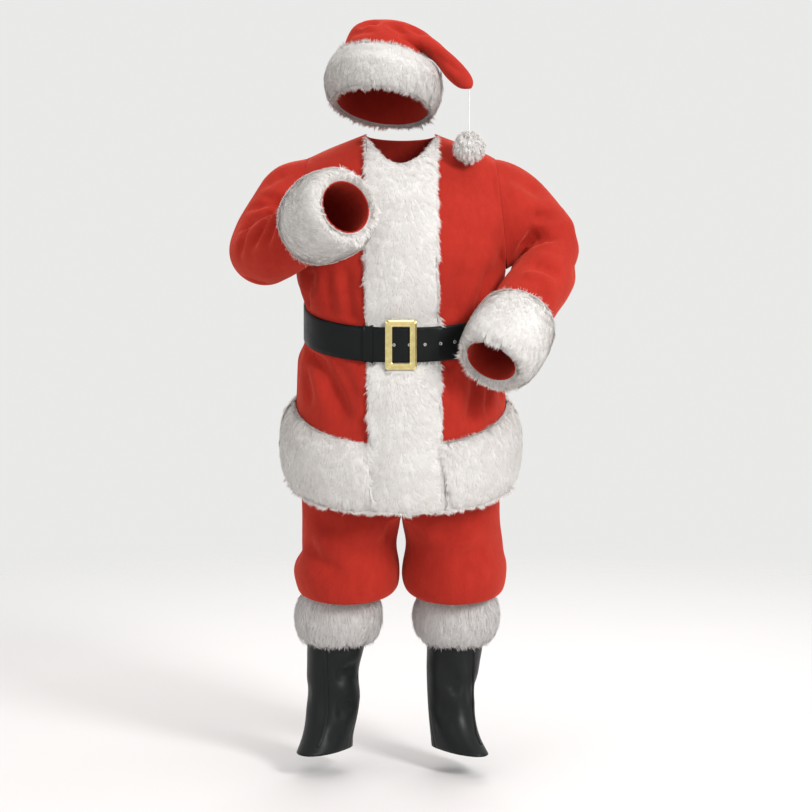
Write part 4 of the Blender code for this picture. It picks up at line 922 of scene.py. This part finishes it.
# folds by piece and view: across_0 up_0 across_1 up_1 bow width depth, all in mm, and start
JACKET_FOLDS = (
    (FRONT_RIGHT, "front",
     (-217, 1060, -125, 876, 10, 22, 26, 1.0), (-150, 1035, -105, 930, 4, 18, 12, 1.0),
     (-238, 1020, -222, 920, 4, 18, 11, 0.5), (-222, 1265, -219, 1195, 0, 20, 11, 0.2),
     (-170, 1175, -178, 1290, 6, 20, 10, 1.0), (-122, 1160, -132, 1300, 8, 18, 11, 1.0),
     (-232, 1185, -210, 1300, 10, 16, 10, 1.0)),
    (FRONT_LEFT, "front",
     (184, 995, 157, 876, 6, 18, 16, 0.8), (216, 985, 205, 903, 4, 14, 11, 0.6),
     (118, 1035, 113, 950, 4, 14, 11, 1.0), (240, 1010, 246, 930, 4, 14, 10, 0.6),
     (255, 1320, 195, 1220, 12, 30, 11, 0.3), (130, 1175, 140, 1300, -6, 22, 10, 1.0),
     (190, 1180, 215, 1290, -6, 18, 10, 1.0), (250, 1480, 160, 1400, -12, 34, 8, 0.3)),
    (BACK, "back",
     (-70, 1180, -90, 1330, 8, 22, 13, 1.0), (20, 1180, 12, 1290, 4, 18, 10, 1.0),
     (105, 1180, 130, 1350, -8, 22, 13, 1.0), (190, 1175, 215, 1300, -4, 18, 11, 1.0),
     (-165, 1175, -200, 1310, 6, 20, 13, 1.0), (-250, 1400, -110, 1300, 14, 26, 13, 0.8),
     (250, 1410, 120, 1320, -14, 26, 13, 0.8), (-110, 1545, 110, 1545, -14, 22, 6, 0.2),
     (-50, 1090, -70, 930, 6, 22, 16, 1.0), (40, 1090, 50, 960, 4, 18, 11, 1.0),
     (130, 1090, 165, 920, -6, 24, 18, 1.0), (-150, 1090, -185, 940, 6, 22, 14, 1.0),
     (215, 1080, 245, 960, 4, 18, 11, 1.0)),
    (BACK, "left",
     (30, 1080, 40, 930, 6, 22, 14, 1.0), (-50, 1170, -30, 1260, 4, 18, 10, 1.0)),
    (BACK, "right",
     (30, 1080, 30, 930, 6, 22, 14, 1.0), (50, 1170, 70, 1270, 4, 18, 11, 1.0)),
)
SLEEVE_FOLDS = (
    (SLEEVE_RIGHT, "front",
     (-294, 1441, -352, 1441, -2, 11, 9, 0.9), (-296, 1428, -385, 1408, -6, 11, 13, 0.9),
     (-300, 1416, -370, 1300, -6, 13, 20, 0.9), (-290, 1400, -326, 1305, -6, 11, 15, 0.8),
     (-362, 1388, -397, 1282, -6, 13, 14, 0.3), (-270, 1325, -335, 1245, 10, 14, 9, 0.6),
     (-330, 1232, -392, 1250, 4, 9, 7, 0.3), (-285, 1500, -350, 1455, -10, 20, 10, 0.5)),
    (SLEEVE_RIGHT, "back",
     (-280, 1300, -370, 1240, 6, 18, 11, 0.5), (-280, 1450, -380, 1340, -10, 20, 11, 0.5),
     (-300, 1380, -400, 1300, 6, 16, 10, 0.5)),
    (SLEEVE_RIGHT, "right",
     (40, 1420, -60, 1330, 6, 18, 10, 0.3)),
    (SLEEVE_LEFT, "front",
     (296, 1312, 338, 1385, -6, 16, 16, 0.4), (326, 1396, 378, 1412, -8, 15, 11, 0.3),
     (345, 1366, 425, 1380, 4, 16, -5, 0.3), (325, 1330, 400, 1345, 4, 12, 8, 0.3),
     (310, 1282, 397, 1243, 8, 17, 13, 0.3), (300, 1256, 385, 1228, 6, 12, -6, 0.5),
     (325, 1215, 368, 1180, 4, 18, 9, 0.2), (275, 1500, 360, 1440, 8, 24, 9, 0.5)),
    (SLEEVE_LEFT, "back",
     (280, 1440, 400, 1330, 12, 20, 11, 0.5), (300, 1330, 405, 1290, 6, 16, 13, 0.6),
     (300, 1270, 400, 1230, 4, 16, 10, 0.6)),
    (SLEEVE_LEFT, "left",
     (50, 1400, -50, 1330, 6, 20, 10, 0.3), (-10, 1290, -120, 1250, 6, 16, 10, 0.3)),
)
TROUSER_FOLDS = (
    (LEG_RIGHT, "front",
     (-225, 575, -120, 520, -12, 20, 12, 0.7), (-215, 650, -140, 610, 10, 24, 9, 0.3),
     (-22, 690, -40, 570, 6, 20, 12, 0.8)),
    (LEG_RIGHT, "back",
     (-225, 620, -100, 660, 10, 22, 14, 0.5), (-200, 560, -80, 590, -10, 20, 13, 0.4),
     (-60, 740, -190, 700, 12, 24, 13, 0.8), (-130, 510, -140, 560, 4, 14, 10, 1.0)),
    (LEG_RIGHT, "right",
     (0, 655, 80, 630, 6, 20, 6, 0.3), (40, 570, -60, 545, 8, 20, 11, 0.3)),
    (LEG_LEFT, "front",
     (85, 622, 205, 640, 6, 20, 10, 0.4), (215, 570, 120, 530, -10, 22, 11, 0.3),
     (30, 690, 60, 600, -10, 22, 9, 0.6)),
    (LEG_LEFT, "back",
     (225, 610, 100, 650, -10, 22, 14, 0.5), (195, 555, 80, 600, 10, 20, 13, 0.4),
     (50, 740, 190, 705, -12, 24, 13, 0.8), (120, 510, 125, 560, 4, 14, 10, 1.0)),
    (LEG_LEFT, "left",
     (70, 650, 10, 625, 6, 20, 6, 0.3), (0, 560, 70, 545, 6, 18, 6, 0.3)),
)
HAT_FOLDS = (
    (CROWN, "front",
     (-100, 1866, -45, 1870, 3, 12, 12, 0.5), (-125, 1842, -50, 1846, 6, 12, 8, 0.3),
     (-22, 1864, 18, 1830, 4, 11, 13, 0.5), (18, 1860, 60, 1828, 4, 12, 11, 0.5),
     (75, 1838, 120, 1790, 6, 12, 7, 0.3), (80, 1800, 165, 1735, -4, 10, 7, 0.5)),
    (CROWN, "back",
     (-120, 1830, 10, 1850, 12, 16, 12, 0.3), (-90, 1790, 60, 1800, -10, 16, 11, 0.3),
     (60, 1840, 140, 1770, 8, 14, 9, 0.3)),
)
BOOT_PIECES = (BOOT_LEFT, "boot_back_left", BOOT_RIGHT, "boot_back_right")
BOOT_DENTS = (
    (BOOT_RIGHT, "front",
     (-122, 262, -172, 248, 4, 18, 12, 0.6), (-120, 170, -170, 160, 4, 20, 10, 0.5),
     (-150, 340, -185, 350, 2, 18, 4, 0.3), (-205, 330, -202, 120, 6, 12, 4, 0.3),
     (-140, 110, -190, 100, 4, 18, 5, 0.3)),
    (BOOT_RIGHT, "back",
     (-140, 240, -190, 260, 6, 20, 6, 0.3)),
    (BOOT_RIGHT, "right",
     (-30, 200, 30, 180, 6, 20, 5, 0.3)),
    (BOOT_LEFT, "front",
     (95, 270, 125, 240, 4, 20, 7, 0.3), (150, 235, 115, 200, -4, 20, 12, 0.5),
     (165, 330, 168, 130, 6, 12, 4, 0.3), (90, 160, 140, 140, 4, 20, 9, 0.4)),
    (BOOT_LEFT, "back",
     (100, 230, 150, 250, 6, 20, 6, 0.3)),
    (BOOT_LEFT, "left",
     (-30, 210, 30, 190, 6, 20, 5, 0.3)),
)

build_camera()
build_stage()

jacket_folds = Folds(JACKET_FOLDS + SLEEVE_FOLDS)
trouser_folds = Folds(TROUSER_FOLDS)
PLUSH_WALL, BELT_WALL, BOOT_WALL = 0.0025, 0.0025, 0.0016
PLUSH_WAVY, HAT_WAVY, BOOT_WAVY = 0.0016, 0.001, 0.0025
# places that stand fuller than the solid: x, y, height above the floor, radius and how much, all in mm
SWELLS = {
    SLEEVE_LEFT: ((309, -20, 1510, 55, -16), (350, -30, 1475, 45, -10), (430, -40, 1370, 50, 14),
                  (276, -40, 1266, 28, 8)),
    **dict.fromkeys((LEG_LEFT, LEG_RIGHT), ((247, -20, 580, 45, 9), (-30, -50, 590, 50, 3))),
    CROWN: ((50, -75, 1818, 45, 8), (95, -85, 1782, 40, 8)),
    **dict.fromkeys(BOOT_PIECES, ((-88, -30, 290, 30, 5), (-108, -30, 240, 28, -6), (-100, -30, 190, 30, 4))),
    "belt_keeper": ((-78, -320, 1110, 200, 1.5),),
    "fur_brim": ((100, -40, 1750, 50, 8),),
    # where the placket meets the left hem, the placket's pile rises and the hem's sinks to one level
    "fur_placket": [(95, -252, up, 20, 4.5) for up in (790, 755, 720)],
    "fur_hem_left": [(107, -262, up, 20, -4.5) for up in (785, 750, 715)],
}
for name, held_by, sewn_under in JACKET:
    shell(name, PLUSH, PLUSH_WALL, jacket_folds, PLUSH_WAVY, held_by, sewn_under)
for name, sewn_under in ((LEG_LEFT, (LEG_RIGHT,)), (LEG_RIGHT, ())):
    shell(name, PLUSH, PLUSH_WALL, trouser_folds, PLUSH_WAVY,
          ("fur_boot_" + name.split("_")[2],), sewn_under)
shell(CROWN, PLUSH, PLUSH_WALL, Folds(HAT_FOLDS), HAT_WAVY, ("fur_brim",))
boot_folds = Folds(BOOT_DENTS)
for name in BOOT_PIECES:
    shell(name, BOOT, BOOT_WALL, boot_folds, BOOT_WAVY,
          ("fur_boot_" + name.split("_")[2],), rounds=1)
BOOT_SEAMS = {      # across and up, in mm
    "right": ((-188, 372), (-188, 274), (-186, 200), (-187, 150), (-195, 106), (-207, 78)),
    "left": ((186, 372), (184, 250), (182, 188), (183, 146), (190, 101), (200, 80)),
}
for side, route in BOOT_SEAMS.items():
    strip_on("boot_seam_" + side, MADE["boot_front_" + side], route, BOOT)
shell("belt_strap", BELT, BELT_WALL)
shell("belt_keeper", BELT, BELT_WALL)

PLACKET_MIDDLE, PLACKET_PARTING, PLACKET_DOWN = -0.01, 0.09, 1.3


def placket_lay(points):
    """Down, and away from the placket's upright middle line, where its pile parts."""
    out = np.zeros_like(points)
    out[:, 0] = np.clip((points[:, 0] - PLACKET_MIDDLE) / PLACKET_PARTING, -1, 1)
    out[:, 2] = -PLACKET_DOWN
    return unit(out)


ON_HEM = (LEG_LEFT, LEG_RIGHT, BACK, FRONT_LEFT, FRONT_RIGHT)
fur("fur_placket", 46000, 1, placket_lay, friends=FUR_HEM[:2],
    neighbours=(FRONT_LEFT, FRONT_RIGHT, "belt_strap", "buckle", "belt_keeper"))
for seed, name, count in zip((2, 3, 4), FUR_HEM, (21000, 22500, 42000)):
    fur(name, count, seed, (0, 0, -1), neighbours=ON_HEM,
        friends=[friend for friend in (*FUR_HEM, "fur_placket") if friend != name])
fur("fur_cuff_left", 29000, 6, (-0.43, -0.66, -0.62),
    neighbours=(SLEEVE_LEFT, FRONT_LEFT, FRONT_RIGHT, "belt_strap"))
fur("fur_cuff_right", 30000, 7, (0.52, -0.81, -0.2), neighbours=(SLEEVE_RIGHT, FRONT_LEFT, FRONT_RIGHT))
# the boot furs take the darker copy of the white fur, whose grey is painted shade
for seed, side in ((8, "left"), (9, "right")):
    fur("fur_boot_" + side, 15000, seed, (0, 0, -1), length=0.030, fringe=0.012, flare=0.15, looks=SHADED_BOOT_FUR,
        neighbours=("trouser_leg_" + side, "boot_front_" + side, "boot_back_" + side))
brim = np.array([v.co for v in NODES["fur_brim"].data.vertices])
brim_axis = np.linalg.svd(brim - brim.mean(0))[2][2]
brim_axis *= np.sign(brim_axis[2])


def brim_lay(points):
    """Down over the brim's lower part, and up and out along its top edge."""
    along = (points - brim.mean(0)) @ brim_axis
    return brim_axis * np.clip(along / 0.030 - 0.6, -1, 1)[:, None]


# the brim takes the greyer copy of the white fur, whose grey is painted shade
fur("fur_brim", 32000, 11, brim_lay, neighbours=(CROWN,), fringe=0.014, looks=SHADED_BRIM_FUR)

for name, material, rounding in (("buckle", GOLD, 0.0022), *((name, NICKEL, 0.0003) for name in EYELETS)):
    node = NODES[name]
    node.data.materials.clear()
    node.data.materials.append(material)
    bevel = node.modifiers.new("soft_edges", "BEVEL")
    bevel.width, bevel.segments, bevel.limit_method = rounding, 3, "ANGLE"
    for polygon in node.data.polygons:
        polygon.use_smooth = True

HAT_TIP = np.array((0.1660, -0.105, 1.7036 - HOLD_HEIGHT))
STRING_THICK, STRING_SEEN, POMPOM_RADIUS = 0.0024, 0.107, 0.0375
STRING_LENGTH = STRING_SEEN + POMPOM_RADIUS       # it runs on to the knot in the pompom's middle
steps = np.linspace(0, 1, 24)
route = HAT_TIP + np.stack([0 * steps, 0 * steps, -STRING_LENGTH * steps], 1)
curve = bpy.data.curves.new("hat_string_cord", "CURVE")
curve.dimensions = "3D"
curve.bevel_depth, curve.bevel_resolution, curve.use_fill_caps = STRING_THICK / 2, 3, True
spline = curve.splines.new("POLY")
spline.points.add(len(route) - 1)
for point, at in zip(spline.points, route):
    point.co = (*at, 1)
curve.materials.append(CORD)
string = bpy.data.objects.new("hat_string_cord", curve)
SCENE.collection.objects.link(string)
finish_piece(string, "hat_string")
fur("hat_pompom", 13000, 12, (0, 0, -0.3), length=0.014, clump=0.006, proud=0.006, lumps=0.0, swollen=0.004,
    rounds=1)
